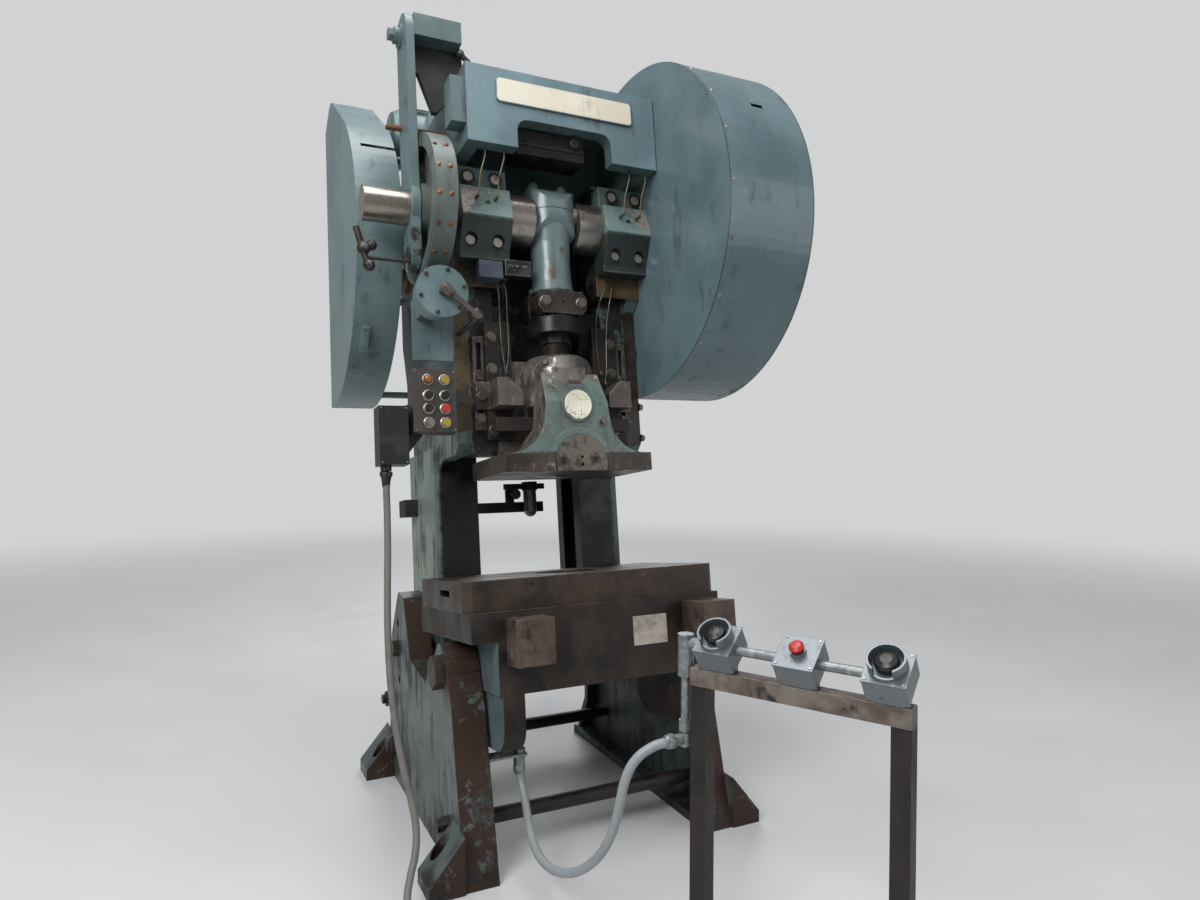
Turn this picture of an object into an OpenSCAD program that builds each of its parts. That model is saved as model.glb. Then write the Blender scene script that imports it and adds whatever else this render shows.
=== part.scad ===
// Open-back inclinable stamping press with a back-geared crankshaft, in millimetres.
// The world frame has X to the right, Y to the back and Z up, with its origin on the floor
// midway between the four anchor bolts. Everything that hangs between the legs is modelled
// in the press's own upright frame (origin on the top front edge of the bolster, midway
// across) and is leaned back by inclined().

/* [Stance] */
// Height of the bolster's front edge above the floor
bed_height = 996; // [950:1:1050]
// Distance of the bolster's front edge in front of the anchor bolts' centre
bed_setback = 480; // [460:1:500]
// Backward lean of the frame as it stands, in degrees
lean = 8; // [5:0.5:10]
// How far the anchor bolts stand outside the legs
anchor_out = 55; // [50:1:60]
// Spacing of the anchor bolts from front to back
anchor_span_y = 960; // [940:1:980]
// Diameter of each anchor hole
anchor_hole_d = 27; // [22:1:33]

/* [Bed] */
// Width of the bolster plate
bolster_w = 1000; // [960:1:1040]
// Depth of the bolster plate, front to back
bolster_d = 560; // [520:1:600]
// Thickness of the bolster plate
bolster_t = 105; // [95:1:110]
// Distance of the tapped holes from the middle of the bolster, across and along it
tap_spread = 190; // [170:1:210]
// Diameter of the tapped holes in the bolster
tap_d = 22; // [18:1:26]
// Diameter of the opening through the bolster and the bed
drop_hole_d = 250; // [200:1:300]

/* [Frame] */
// Width over the frame's cheeks
frame_w = 800; // [796:1:804]
// Width of the crown
crown_w = 788; // [780:1:796]
// Height of the crown's top above the bolster
crown_top = 1907; // [1890:1:1920]
// Height of the crown's lower front edge above the bolster
crown_low = 1602; // [1595:1:1610]
// How far the crown's front face stands behind the bolster's front edge
crown_front = 57; // [50:1:65]
// Height of the underside of the head above the bolster
head_low = 471; // [460:1:480]
// Distance from the bolster's front edge to the throat's back wall
throat_y = 626; // [610:1:640]
// Thickness of the cast walls
wall = 55; // [45:1:60]

/* [Crankshaft] */
// Height of the crankshaft above the bolster
crank_z = 1400; // [1395:1:1405]
// Distance of the crankshaft and ram behind the bolster's front edge
crank_y = 275; // [270:1:280]
// Diameter of the main journals
journal_d = 130; // [126:1:134]
// Diameter of the crank cheeks
cheek_d = 210; // [208:1:214]
// Full stroke of the ram
stroke = 76; // [60:1:76]
// How far the shaft stands out at the left, past the link beside the drum
stub_out = 169; // [120:1:180]

/* [Ram] */
// Width of the ram's flange
ram_w = 608; // [590:1:620]
// Thickness of the ram's flange
ram_t = 69; // [60:1:75]
// Height of the ram's underside above the bolster, stroke up
ram_low = 376; // [370:1:382]
// Diameter of the ram's round neck
neck_d = 292; // [288:1:296]
// Diameter of the tool shank hole
shank_d = 64; // [50:1:70]
// Running clearance between the ram and its gibs
gib_gap = 0.1; // [0.05:0.05:0.2]

/* [Drive] */
// Module of the main gear and its pinion
gear_module = 16; // [16:1:16]
// Teeth on the main gear
gear_teeth = 80; // [80:1:80]
// Teeth on the pinion
pinion_teeth = 20; // [20:1:20]
// Radius of the main gear's guard
gear_guard_r = 697; // [690:1:705]
// Flywheel diameter
flywheel_d = 1080; // [1000:1:1090]
// Radius of the flywheel guard
fly_guard_r = 644; // [635:1:650]

/* [Brake] */
// Diameter of the brake drum
drum_d = 524; // [515:1:530]
// Thickness of the brake band with its lining
band_t = 18; // [14:1:20]

/* [Controls] */
// Width of the control panel
panel_w = 157; // [150:1:165]
// Height of the control panel
panel_h = 229; // [220:1:235]
// Height of the two-hand stand's rail above the floor
rail_z = 836; // [820:1:850]
// Length of the two-hand stand's rail
rail_l = 606; // [600:1:620]
// Diameter of the palm buttons
palm_d = 62; // [56:1:64]

/* [Hidden] */
$fn = 48;

cut = 1;
fit = 0.05;
green = [0.47, 0.60, 0.57];
pale_green = [0.62, 0.70, 0.64];
dark_iron = [0.22, 0.20, 0.19];
brown_iron = [0.36, 0.27, 0.22];
steel = [0.62, 0.62, 0.61];
black = [0.08, 0.08, 0.08];
cast_grey = [0.45, 0.47, 0.46];

// Frame stations in the press's own upright frame
cheek_out = frame_w / 2;
cheek_in = cheek_out - wall;
lug_in = cheek_out - 88;
lug_out = cheek_out - 10;
frame_back = 1030;
head_back = 1180;
bed_top = -bolster_t;
bed_low = -385;
bed_front = -30;
flange_low = bed_top - 100;
flange_x = cheek_out + 90;
column_in = cheek_out - 165;
column_out = cheek_out + 20;
back_in = cheek_out - 100;
column_back_t = 60;
gib_face = 330;
way_y = 395;
way_in = 165;
way_face = 240;
way_top = 1080;
saddle_in = 204;
saddle_out = cheek_out + 3;
saddle_low = 1120;
web_y = 470;
web_t = 50;

// The frame swings on the two front pivots and is held by the two lock bolts at the back
pivot_y = 231;
pivot_z = -317;
pivot_d = 70;
lock_r = 682;
lock_angle = 1.7;
lock_d = 36;
upright_swing = lean;
back_swing = 17;
leg_out = cheek_out + 125;
leg_in = cheek_out + 5;
horn_in = cheek_out + 30;
anchor_span_x = 2 * (leg_out + anchor_out);
leg_web = 40;
leg_rim = 32;
tie_d = 40;
tie_places = [[-400, 150], [400, 150], [490, 330]];

// Crank and drive
journal_r = journal_d / 2;
cheek_r = cheek_d / 2;
throw = stroke / 2;
pin_half = 95;
bush_r = journal_r + 15;
centre_distance = gear_module * (gear_teeth + pinion_teeth) / 2;
back_rise = 20;
back_y = crank_y + sqrt(pow(centre_distance, 2) - pow(back_rise, 2));
back_z = crank_z + back_rise;
mesh_angle = asin(back_rise / centre_distance);
backshaft_d = 90;
gear_x0 = cheek_out + 40;
gear_x1 = gear_x0 + 120;
motor_y = 1010;
motor_z = 2050;
sheave_r = 70;
belt_t = 11;
belt_gap = 0.8;
guard_t = 4;
guard_x0 = saddle_out + 5;
guard_x1 = gear_x1 + 230;
clutch_x1 = gear_x1 + 138;
fly_guard_x0 = -cheek_out - 338;
fly_guard_x1 = -cheek_out - 160;

// Fastener stations, in X and Z
cap_bolt_x = [saddle_in + 50, saddle_out - 40];
oil_tube_x = [saddle_in + 66, saddle_out - 58];
cap_bolt_z = [1272, 1524];
cap_bolt_d = 30;
cap_face = 190;
frame_bolt_d = 20;
gib_bolt_x = 262;
bar_bolt_x = 312;
gib_t = 30;
bar_t = 22;
gib_bolt_z = [560, 675, 800, 925];
bar_bolt_z = [605, 773];
frame_bolt_places = concat(
  [for (side = [-1, 1], z = gib_bolt_z) [side * gib_bolt_x, z]],
  [for (side = [-1, 1], z = bar_bolt_z) [side * bar_bolt_x, z]]
);

// Ram stations
ram_front = 86;
ram_top = 840;
ball_z = 740;
ball_r = 56;
boss_z = ram_low + 31;
shank_deep = 94;
bar_slot = [544.7, 640];
knock_bar = [545, 597];

// Brake cylinder, hanger arm and flywheel stations
brake_x = -cheek_out - 110;
brake_z = 1026;
brake_pipe_x = -cheek_out + 20;
drum_x0 = -cheek_out - 144;
drum_x1 = -cheek_out - 60;
arm_x0 = -cheek_out - 180;
arm_x1 = -cheek_out - 148;
stub_x = stub_out - arm_x0;
fly_x0 = -cheek_out - 240;
fly_x1 = -cheek_out - 152;
motor_x = -cheek_out - 90;
motor_r = 138;

// Control panel devices and two-hand stand
panel_x0 = -cheek_out - 212;
panel_z0 = 528;
device_x = [panel_x0 + 55, panel_x0 + 115];
device_z = [panel_z0 + 190, panel_z0 + 132, panel_z0 + 85, panel_z0 + 35];
station_x = [85, 320, 550];
station_y = 20;
station_z = 900;
station_w = 106;
station_tilt = 35;
conduit_z = 622;

// Route of the flexible conduit, from the stand to the connector on the left leg
conduit_route = [
  [-88.8, -1148.6, 622], [-108, -1148.3, 621.2], [-148.8, -1137.8, 611],
  [-196.2, -1120.9, 574], [-221.4, -1108.8, 517.9], [-229.8, -1096.6, 456.5],
  [-234, -1079.1, 396], [-239.1, -1054.6, 338.1], [-247.3, -1022.6, 284.3],
  [-258.6, -983.6, 236.1], [-272.3, -937.9, 194.8], [-286.9, -886, 162],
  [-300.1, -828.6, 139.4], [-309.6, -767.3, 128.6], [-312.9, -704.4, 130.5],
  [-309.6, -643, 144.4], [-301.2, -585.2, 168.2], [-290.3, -531.8, 197.1],
  [-281.3, -484, 231.2], [-279.6, -447.1, 272], [-281.6, -433.6, 307],
  [-282, -432, 325.7]
];

// Route of the supply cable, from the junction box down to the coil on the floor
cable_x = panel_x0 - 95;
cable_route = [
  [-707, -247, 1359], [-707, -247.4, 1340], [-706.7, -251.3, 1291.6],
  [-706.5, -261.4, 1223], [-709.9, -287, 1086.7], [-716.8, -315.8, 951.2],
  [-722.2, -347.2, 816.1], [-722.2, -381.6, 681.7], [-719.5, -400.1, 614.9],
  [-715, -419.6, 548.5], [-708.5, -440.4, 482.7], [-699.8, -462.8, 417.6],
  [-689.4, -487.2, 353.5], [-678.8, -513.9, 290.4], [-674.5, -543.4, 227.8],
  [-684.8, -575, 167.2], [-709, -609.6, 112.2], [-728.5, -655.2, 64.4],
  [-721.6, -715.2, 31.5], [-706.8, -780.9, 16], [-702.7, -820, 12.8],
  [-702.7, -850, 12.6]
];

// Where the round of an arc lies, from angle a0 to a1 in n steps about a centre
function arc(c, r, a0, a1, n) =
  [for (i = [0:n]) c + r * [cos(a0 + (a1 - a0) * i / n), sin(a0 + (a1 - a0) * i / n)]];

// Place a piece of the swinging frame, leaned back about the bolster's front edge
module inclined() {
  translate([0, -bed_setback, bed_height]) rotate([-lean, 0, 0]) children();
}

// An outline drawn in Y and Z, extruded across the press from x0 to x1
module across(x0, x1) {
  translate([x0, 0, 0]) rotate([90, 0, 90]) linear_extrude(x1 - x0) children();
}

module rod_x(x0, x1, y, z, d) {
  translate([x0, y, z]) rotate([0, 90, 0]) cylinder(h = x1 - x0, d = d);
}

module rod_y(y0, y1, x, z, d) {
  translate([x, y0, z]) rotate([-90, 0, 0]) cylinder(h = y1 - y0, d = d);
}

module block(x, y, z) {
  translate([x[0], y[0], z[0]]) cube([x[1] - x[0], y[1] - y[0], z[1] - z[0]]);
}

module both_sides() {
  children();
  mirror([1, 0, 0]) children();
}

// A hexagon bolt along Y whose head stands in front of the face at y
module hex_bolt(x, y, z, d, shank) {
  translate([x, y, z]) rotate([90, 0, 0]) {
    cylinder(h = 0.65 * d, d = 1.9 * d, $fn = 6);
    translate([0, 0, -shank]) cylinder(h = shank, d = d);
  }
}

// A place in the press's own frame, given by its Y and Z
module lean_point(y, z) {
  inclined() translate([0, y, z]) children();
}

// A place on the lock bolts' circle about the front pivot
module lock_point(step) {
  a = lock_angle + step;
  lean_point(pivot_y + lock_r * cos(a), pivot_z + lock_r * sin(a)) children();
}

// Two round ends and the straight sides between them, as points in Y and Z
function loop_points(a, ra, b, rb, na = 72, nb = 24) =
  let (
    way = b - a, turn = acos((ra - rb) / norm(way)), base = atan2(way[1], way[0])
  )
  concat(
    arc(a, ra, base + turn, base + 360 - turn, na),
    arc(b, rb, base - turn, base + turn, nb)
  );

// Side outline of a leg: rear horn, notch, front shoulder, sloped front, foot, in world Y and Z
leg_points = concat(
  [[383, 815], [290, 807], [167, 577], [-72, 553], [-173, 643]],
  arc([-282, 675], 72, 60, 165, 5),
  [[-420, 560], [-583, 0], [600, 0], [600, 60], [530, 190], [535, 400], [500, 620]]
);

module foot(y0, y1, hole_y) {
  difference() {
    translate([0, y1, 0]) rotate([90, 0, 0]) linear_extrude(y1 - y0)
      polygon([[-leg_out - 120, 0], [-leg_out, 0], [-leg_out, 190], [-leg_out - 120, 45]]);
    translate([-anchor_span_x / 2, hole_y, -cut]) cylinder(h = 300, d = anchor_hole_d);
    translate([-anchor_span_x / 2, hole_y, 40]) cylinder(h = 300, d = 62);
  }
}

// The same outline drawn a distance t inside itself
function inset_points(p, t) =
  let (
    n = len(p),
    side = [for (i = [0:n - 1]) let (run = p[(i + 1) % n] - p[i]) [-run[1], run[0]] / norm(run)]
  )
  [for (i = [0:n - 1]) let (a = side[(i + n - 1) % n], b = side[i]) p[i] + (a + b) * t / (1 + a * b)];

// A plate with a rim round its edge, which is lower along the rear horn, clear of the columns
module leg() {
  difference() {
    union() {
      difference() {
        across(-leg_out, -leg_in) polygon(leg_points);
        across(-leg_out + leg_web, -leg_in + cut) polygon(inset_points(leg_points, leg_rim));
        block([-horn_in, -leg_in + cut], [-60, 700], [leg_rim + 4, 900]);
      }
      foot(-592, -445, -anchor_span_y / 2);
      foot(445, 592, anchor_span_y / 2);
      lean_point(pivot_y, pivot_z) rod_x(-leg_out, -leg_in, 0, 0, 150);
      lock_point(0) rod_x(-leg_out, -horn_in, 0, 0, 90);
    }
    lean_point(pivot_y, pivot_z) rod_x(-leg_out - cut, -leg_in + cut, 0, 0, pivot_d);
    for (step = [-11, 0, 9]) {
      lock_point(step) rod_x(-leg_out - cut, -leg_in + cut, 0, 0, lock_d);
    }
    for (place = tie_places) {
      rod_x(-leg_out - cut, -leg_in + cut, place[0], place[1], tie_d);
    }
  }
}

module left_leg() {
  color(green) leg();
}

module right_leg() {
  color(green) mirror([1, 0, 0]) leg();
}

// Two lower rods with spacer pipes and one upper rod, each with a nut at both ends
module tie_rods() {
  reach = leg_out + 45;
  color(dark_iron) for (place = tie_places) {
    rod_x(-reach, reach, place[0], place[1], tie_d);
    rod_x(-leg_in, leg_in, place[0], place[1], tie_d + 14);
    for (side = [-1, 1]) {
      translate([side * (leg_out + 15), place[0], place[1]]) rotate([0, 90, 0])
        cylinder(h = 30, d = 68, center = true, $fn = 6);
    }
  }
}

// Headed pins through both legs that carry the frame and let it lean
module pivot_bolts() {
  color(dark_iron) both_sides() lean_point(pivot_y, pivot_z) {
    rod_x(-leg_out, -lug_in + 20, 0, 0, pivot_d);
    translate([-leg_out - 36, 0, 0]) rotate([0, 90, 0]) cylinder(h = 36, d = 120, $fn = 6);
  }
}

// Clamping bolts from the legs into the frame's curved slots
module lock_bolts() {
  color(dark_iron) both_sides() lock_point(0) {
    rod_x(-leg_out, -cheek_in + 20, 0, 0, lock_d);
    translate([-leg_out - 26, 0, 0]) rotate([0, 90, 0]) cylinder(h = 26, d = 66, $fn = 6);
  }
}

// Side outline of a cheek: crown, bearing seat, head, throat, bed and back
cheek_points = concat(
  [
    [crown_front, crown_top], [crown_front, crown_low], [crank_y, crown_low],
    [crank_y, saddle_low], [gib_face, saddle_low - 50], [gib_face, head_low + 40],
    [gib_face + 40, head_low], [throat_y - 90, head_low]
  ],
  arc([throat_y - 90, head_low - 90], 90, 80, 0, 5),
  [
    [throat_y, bed_top], [bed_front, bed_top], [bed_front, bed_low], [620, bed_low],
    [760, -470], [frame_back, -470], [frame_back, 620], [head_back, 1080],
    [head_back, 1780], [1080, crown_top]
  ]
);

module cheek() {
  across(-cheek_out, -cheek_in) polygon(cheek_points);
}

// Hollow column beside the throat: front face, outer wall and back face
module column() {
  z = [bed_top - 40, head_low + 60];
  block([-column_out, -column_in], [throat_y, throat_y + 70], z);
  block([-column_out, -cheek_out], [throat_y, frame_back], z);
  block([-column_out, -back_in], [frame_back - column_back_t, frame_back], z);
}

// Seat that a crankshaft bearing is bolted to, and the way that guides the ram
module bearing_seat() {
  block([-saddle_out, -saddle_in], [crank_y, web_y], [saddle_low, crown_low]);
  block([-cheek_in, -way_face], [gib_face, web_y], [head_low, saddle_low]);
  block([-way_face, -way_in], [way_y, web_y], [head_low, way_top]);
}

// Lug below the bed that the front pivot passes through
module pivot_lug() {
  across(-lug_out, -lug_in) polygon(concat(
    [[330, flange_low], [bed_front, flange_low]],
    arc([bed_front + 90, -488], 90, 180, 270, 6),
    arc([240, -488], 90, 270, 360, 6)
  ));
}

module crown() {
  half = crown_w / 2;
  difference() {
    block([-half, half], [crown_front, crown_front + 60], [crown_low, crown_top]);
    translate([0, crown_front - cut, 0]) rotate([90, 0, 0]) mirror([0, 0, 1])
      linear_extrude(60 + 2 * cut) polygon(concat(
        [[-203, crown_low - cut], [195, crown_low - cut]],
        arc([150, 1673], 45, 0, 90, 6),
        arc([-158, 1673], 45, 90, 180, 6)
      ));
  }
  block([-cheek_out, cheek_out], [crown_front + 60, 1080], [crown_top - 50, crown_top]);
  block([-cheek_in, cheek_in], [web_y, web_y + web_t], [820, crown_top - 50]);
  block([-cheek_in, cheek_in], [1020, 1060], [1560, crown_top - 50]);
  // Cast pad that carries the cream name field
  translate([0, crown_front, 0]) rotate([90, 0, 0]) linear_extrude(8) polygon(concat(
    arc([-269, 1785], 16, 180, 270, 3), arc([277, 1785], 16, 270, 360, 3),
    arc([277, 1851], 16, 0, 90, 3), arc([-269, 1851], 16, 90, 180, 3)
  ));
}

module bed() {
  block([-flange_x, flange_x], [bed_front, throat_y], [flange_low, bed_top]);
  block([-cheek_in, cheek_in], [bed_front, bed_front + 50], [bed_low, flange_low]);
  block([-cheek_in, cheek_in], [560, 610], [bed_low, flange_low]);
  block([-366, -230], [bed_front - 95, bed_front], [-285, -130]);
  block([330, 460], [bed_front - 150, bed_front], [-300, -128]);
}

module arc_slot() {
  // Curved slot about the front pivot, long enough for the whole swing of the frame
  low = lock_angle - upright_swing;
  high = lock_angle + back_swing;
  width = lock_d + 2;
  depth = column_out - cheek_in + 2 * cut;
  translate([-column_out - cut, pivot_y, pivot_z]) rotate([90, 0, 90]) {
    intersection() {
      difference() {
        cylinder(h = depth, r = lock_r + width / 2);
        translate([0, 0, -cut]) cylinder(h = depth + 2 * cut, r = lock_r - width / 2);
      }
      linear_extrude(depth)
        polygon([[0, 0], 2 * lock_r * [cos(low), sin(low)], 2 * lock_r * [cos(high), sin(high)]]);
    }
    for (a = [low, high]) {
      translate([lock_r * cos(a), lock_r * sin(a), 0])
        cylinder(h = depth, d = width);
    }
  }
}

module main_frame() {
  color(green) inclined() difference() {
    union() {
      both_sides() {
        cheek();
        column();
        bearing_seat();
        pivot_lug();
      }
      crown();
      bed();
    }
    rod_x(-saddle_out - cut, saddle_out + cut, crank_y, crank_z, 2 * bush_r);
    rod_x(-cheek_out - cut, cheek_out + cut, back_y, back_z, backshaft_d + 50);
    rod_x(-cheek_out - cut, cheek_out + cut, pivot_y, pivot_z, pivot_d + 4 * fit);
    translate([0, bolster_d / 2, flange_low - cut])
      cylinder(h = 100 + 2 * cut, d = drop_hole_d + 10);
    both_sides() arc_slot();
    for (x = cap_bolt_x, z = cap_bolt_z) {
      rod_y(crank_y - cut, crank_y + 60, x, z, cap_bolt_d);
      rod_y(crank_y - cut, crank_y + 60, -x, z, cap_bolt_d);
    }
    for (place = frame_bolt_places) {
      rod_y(gib_face - cut, gib_face + 40, place[0], place[1], frame_bolt_d);
    }
  }
}

module bolster_plate() {
  bevel = 26;
  color(brown_iron) inclined() difference() {
    translate([0, 0, bed_top]) linear_extrude(bolster_t) polygon([
      [-bolster_w / 2 + bevel, 0], [bolster_w / 2 - bevel, 0], [bolster_w / 2, bevel],
      [bolster_w / 2, bolster_d], [-bolster_w / 2, bolster_d], [-bolster_w / 2, bevel]
    ]);
    translate([0, bolster_d / 2, bed_top - cut])
      cylinder(h = bolster_t + 2 * cut, d = drop_hole_d);
    for (i = [-1, 1], j = [-1, 1]) {
      translate([i * tap_spread, bolster_d / 2 + j * tap_spread, -60]) cylinder(h = 60 + cut, d = tap_d);
    }
    for (side = [-1, 1]) {
      block([side * bolster_w / 2 - 60, side * bolster_w / 2 + 60], [175, 300], [-56, -34]);
    }
    for (x = [-256, 295]) rod_y(-cut, 60, x, -20, 14);
  }
}

// Turned shaft: journals, two round cheeks and the offset crankpin, with its stub at the left
module crankshaft() {
  color(steel) inclined() {
    rod_x(-stub_x, -pin_half, crank_y, crank_z, journal_d);
    rod_x(pin_half, clutch_x1 + 2, crank_y, crank_z, journal_d);
    rod_x(-saddle_in + 2, -pin_half, crank_y, crank_z, cheek_d);
    rod_x(pin_half, saddle_in - 2, crank_y, crank_z, cheek_d);
    rod_x(-pin_half, pin_half, crank_y, crank_z + throw, journal_d);
  }
}

module crank_bushings() {
  color([0.72, 0.56, 0.30]) inclined() both_sides() difference() {
    rod_x(-saddle_out, -saddle_in, crank_y, crank_z, 2 * bush_r);
    rod_x(-saddle_out - cut, -saddle_in + cut, crank_y, crank_z, journal_d + 2 * fit);
  }
}

// Wedge-fronted caps that close the main bearings from the front
module bearing_caps() {
  color(green) inclined() both_sides() difference() {
    across(-saddle_out, -saddle_in) polygon([
      [crank_y, 1570], [cap_face + 20, 1570], [cap_face + 20, 1484], [172, 1478],
      [140, 1358], [cap_face + 10, 1232], [cap_face + 10, 1205], [crank_y, 1205]
    ]);
    rod_x(-saddle_out - cut, -saddle_in + cut, crank_y, crank_z, 2 * bush_r);
    for (x = cap_bolt_x, z = cap_bolt_z) {
      rod_y(100, crank_y + cut, -x, z, cap_bolt_d);
      rod_y(100, cap_face + 20, -x, z, 52);
    }
    for (x = oil_tube_x) rod_y(100, 176, -x, 1425, 12);
  }
}

module cap_bolts() {
  color(steel) inclined() both_sides() for (x = cap_bolt_x, z = cap_bolt_z) {
    rod_y(cap_face + 20, crank_y + 60, -x, z, cap_bolt_d);
    rod_y(cap_face, cap_face + 20, -x, z, 44);
  }
}

// A straight round bar between two points
module strut(p, q, d) {
  run = q - p;
  translate(p) rotate([0, acos(run[2] / norm(run)), atan2(run[1], run[0])])
    cylinder(h = norm(run), d = d, $fn = 24);
}

pin_z = crank_z + throw;

module big_end() {
  intersection() {
    rod_x(-91, 91, crank_y, pin_z, 2 * 106);
    translate([0, crank_y, pin_z - 150]) cylinder(h = 300, r = 108);
  }
}

// Connecting rod: lower half of the big end, the round shank and the split clamp below
module pitman() {
  color(green) inclined() difference() {
    union() {
      intersection() {
        big_end();
        block([-200, 200], [0, 600], [0, pin_z]);
      }
      translate([0, crank_y, 0]) rotate_extrude() polygon([
        [0, 1102], [90, 1102], [82, 1150], [78, 1230], [82, 1310], [90, 1370], [90, pin_z - 20],
        [0, pin_z - 20]
      ]);
      translate([0, crank_y, 1097]) intersection() {
        cylinder(h = 30, r = 96);
        block([-200, 200], [4, 200], [0, 30]);
      }
      block([-103, 103], [crank_y + 4, crank_y + 95], [1004, 1104]);
    }
    rod_x(-120, 120, crank_y, pin_z, journal_d + 2 * fit);
    translate([0, crank_y, 990]) cylinder(h = 120, d = 100);
    for (x = [-76, 76]) rod_y(crank_y - cut, crank_y + 70, x, 1052, 22);
    for (x = [-62, 62]) translate([x, crank_y, pin_z - 60]) cylinder(h = 70, d = 22);
  }
}

// Upper half of the big end with a boss over each cap bolt
module pitman_cap() {
  color(green) inclined() difference() {
    union() {
      intersection() {
        big_end();
        block([-200, 200], [0, 600], [pin_z, pin_z + 200]);
      }
      for (x = [-62, 62]) translate([x, crank_y, pin_z + 20]) {
        cylinder(h = 96, r = 23);
        translate([0, 0, 96]) sphere(r = 23);
      }
    }
    rod_x(-120, 120, crank_y, pin_z, journal_d + 2 * fit);
  }
}

module clamp_cap() {
  color(dark_iron) inclined() difference() {
    translate([0, crank_y - 4, 0]) rotate([90, 0, 0]) linear_extrude(100) polygon([
      [-103, 1030], [-84, 1006], [84, 1006], [103, 1030], [103, 1074], [84, 1098], [-84, 1098], [-103, 1074]
    ]);
    translate([0, crank_y, 990]) cylinder(h = 120, d = 100);
    for (x = [-76, 76]) rod_y(100, crank_y + cut, x, 1052, 22);
    rod_y(100, 200, 0, 1052, 10);
  }
}

module clamp_bolts() {
  color(steel) inclined() for (x = [-76, 76]) {
    hex_bolt(x, crank_y - 104, 1052, 22, 170);
  }
}

// Screw that sets the shut height: threaded top, turning collar and ball end
module adjusting_screw() {
  color(dark_iron) inclined() translate([0, crank_y, 0]) {
    translate([0, 0, ball_z]) cylinder(h = 1086 - ball_z, d = 100);
    translate([0, 0, 936]) cylinder(h = 64, d = cheek_d);
    translate([0, 0, ball_z]) sphere(r = ball_r);
    translate([0, 0, 900]) cylinder(h = 36, d = 128, $fn = 8);
  }
}

// Front outline of the ram's skirt in X and Z: wide foot, hollow flare, sides rising to the neck
function skirt_points() = concat(
  [[-ram_w / 2, ram_low + ram_t - 1], [ram_w / 2, ram_low + ram_t - 1]],
  arc([ram_w / 2 - 24, 590], 145, 270, 185, 7),
  [[118, 760], [-118, 760]],
  arc([-ram_w / 2 + 24, 590], 145, -5, -90, 7)
);

module ram_skirt() {
  intersection() {
    translate([0, 330, 0]) rotate([90, 0, 0]) linear_extrude(330 - ram_front) polygon(skirt_points());
    across(-ram_w, ram_w) polygon([
      [ram_front + 6, ram_low], [ram_front + 6, 640], [150, 760], [330, 760], [330, ram_low]
    ]);
  }
}

module ram() {
  color(green) inclined() difference() {
    union() {
      block([-ram_w / 2, ram_w / 2], [ram_front, 464], [ram_low, ram_low + ram_t]);
      ram_skirt();
      translate([0, crank_y, 0]) rotate_extrude() polygon([
        [0, ram_low + 10], [neck_d / 2, ram_low + 10], [neck_d / 2, 780], [128, 828],
        [110, ram_top], [0, ram_top]
      ]);
      block(
        [-way_face + gib_gap, way_face - gib_gap], [gib_face + gib_gap, way_y - gib_gap],
        [ram_low + ram_t - 1, ram_top]
      );
      // Arched boss round the shank clamp, and the round pad above it
      translate([0, ram_front + 20, boss_z]) rotate([90, 0, 0]) cylinder(h = 28, r = 134);
      rod_y(ram_front, 200, 0, 628, 130);
    }
    translate([0, ram_front - 20, boss_z]) rotate([-90, 0, 0])
      cylinder(h = crank_y - ram_front + 17, r = 106);
    block([-106, 106], [0, crank_y - 3], [ram_low - 40, boss_z]);
    block([-300, 300], [0, 600], [ram_low - 200, ram_low]);
    translate([0, crank_y, ram_low - cut]) cylinder(h = shank_deep + cut, d = shank_d);
    block([-58, 58], [crank_y - 59, crank_y + 59 + throw], [ball_z - ball_r - 10, ram_top + cut]);
    block([-400, 400], [213, 257], bar_slot);
    for (x = [-66, 66]) rod_y(150, crank_y + 50, x, boss_z + 20, 24);
  }
}

// Half-round cap that clamps the tool's shank in the ram, with its two bolts
module shank_clamp() {
  color(brown_iron) inclined() {
    difference() {
      intersection() {
        rod_y(ram_front - 12, crank_y - 5, 0, boss_z, 2 * 105.6);
        block([-105.6, 105.6], [0, crank_y], [ram_low, boss_z + 110]);
      }
      translate([0, crank_y, ram_low - cut]) cylinder(h = shank_deep + cut, d = shank_d);
      for (z = [boss_z - 8, boss_z + 20]) rod_y(0, 140, 0, z, 11);
    }
    for (x = [-66, 66]) {
      rod_y(crank_y - 5, crank_y + 50, x, boss_z + 20, 24);
      translate([x, ram_front - 12, boss_z + 20]) rotate([90, 0, 0]) {
        cylinder(h = 4, d = 50);
        cylinder(h = 22, d = 42, $fn = 6);
        cylinder(h = 32, d = 24);
      }
    }
  }
}

// Flat gib plates that hold the ram's ears back against the ways
module gib_plates() {
  color(dark_iron) inclined() both_sides() difference() {
    block([-288, -180], [gib_face - gib_t, gib_face], [520, 990]);
    for (z = gib_bolt_z) rod_y(0, 400, -gib_bolt_x, z, frame_bolt_d);
  }
}

// Slotted bars that carry the stop blocks at any height
module stop_bars() {
  color(steel) inclined() both_sides() difference() {
    block([-334, -290], [gib_face - bar_t, gib_face], [560, 930]);
    block([-bar_bolt_x - 10, -bar_bolt_x + 10], [0, 400], [585, 905]);
  }
}

// Bevelled blocks that stop the knock-out bar as the ram rises
module stop_blocks() {
  color(steel) inclined() both_sides() {
    translate([0, gib_face - gib_t, 0]) rotate([90, 0, 0]) linear_extrude(120) polygon([
      [-282, 638], [-184, 638], [-184, 690], [-238, 744], [-282, 744]
    ]);
    block([-334, -281], [gib_face - bar_t - 22, gib_face - gib_t], [638, 744]);
    block([-334, -290], [gib_face - bar_t - 22, gib_face - bar_t], [638, 744]);
    hex_bolt(-bar_bolt_x, gib_face - bar_t - 22, 690, frame_bolt_d, 20);
  }
}

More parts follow.
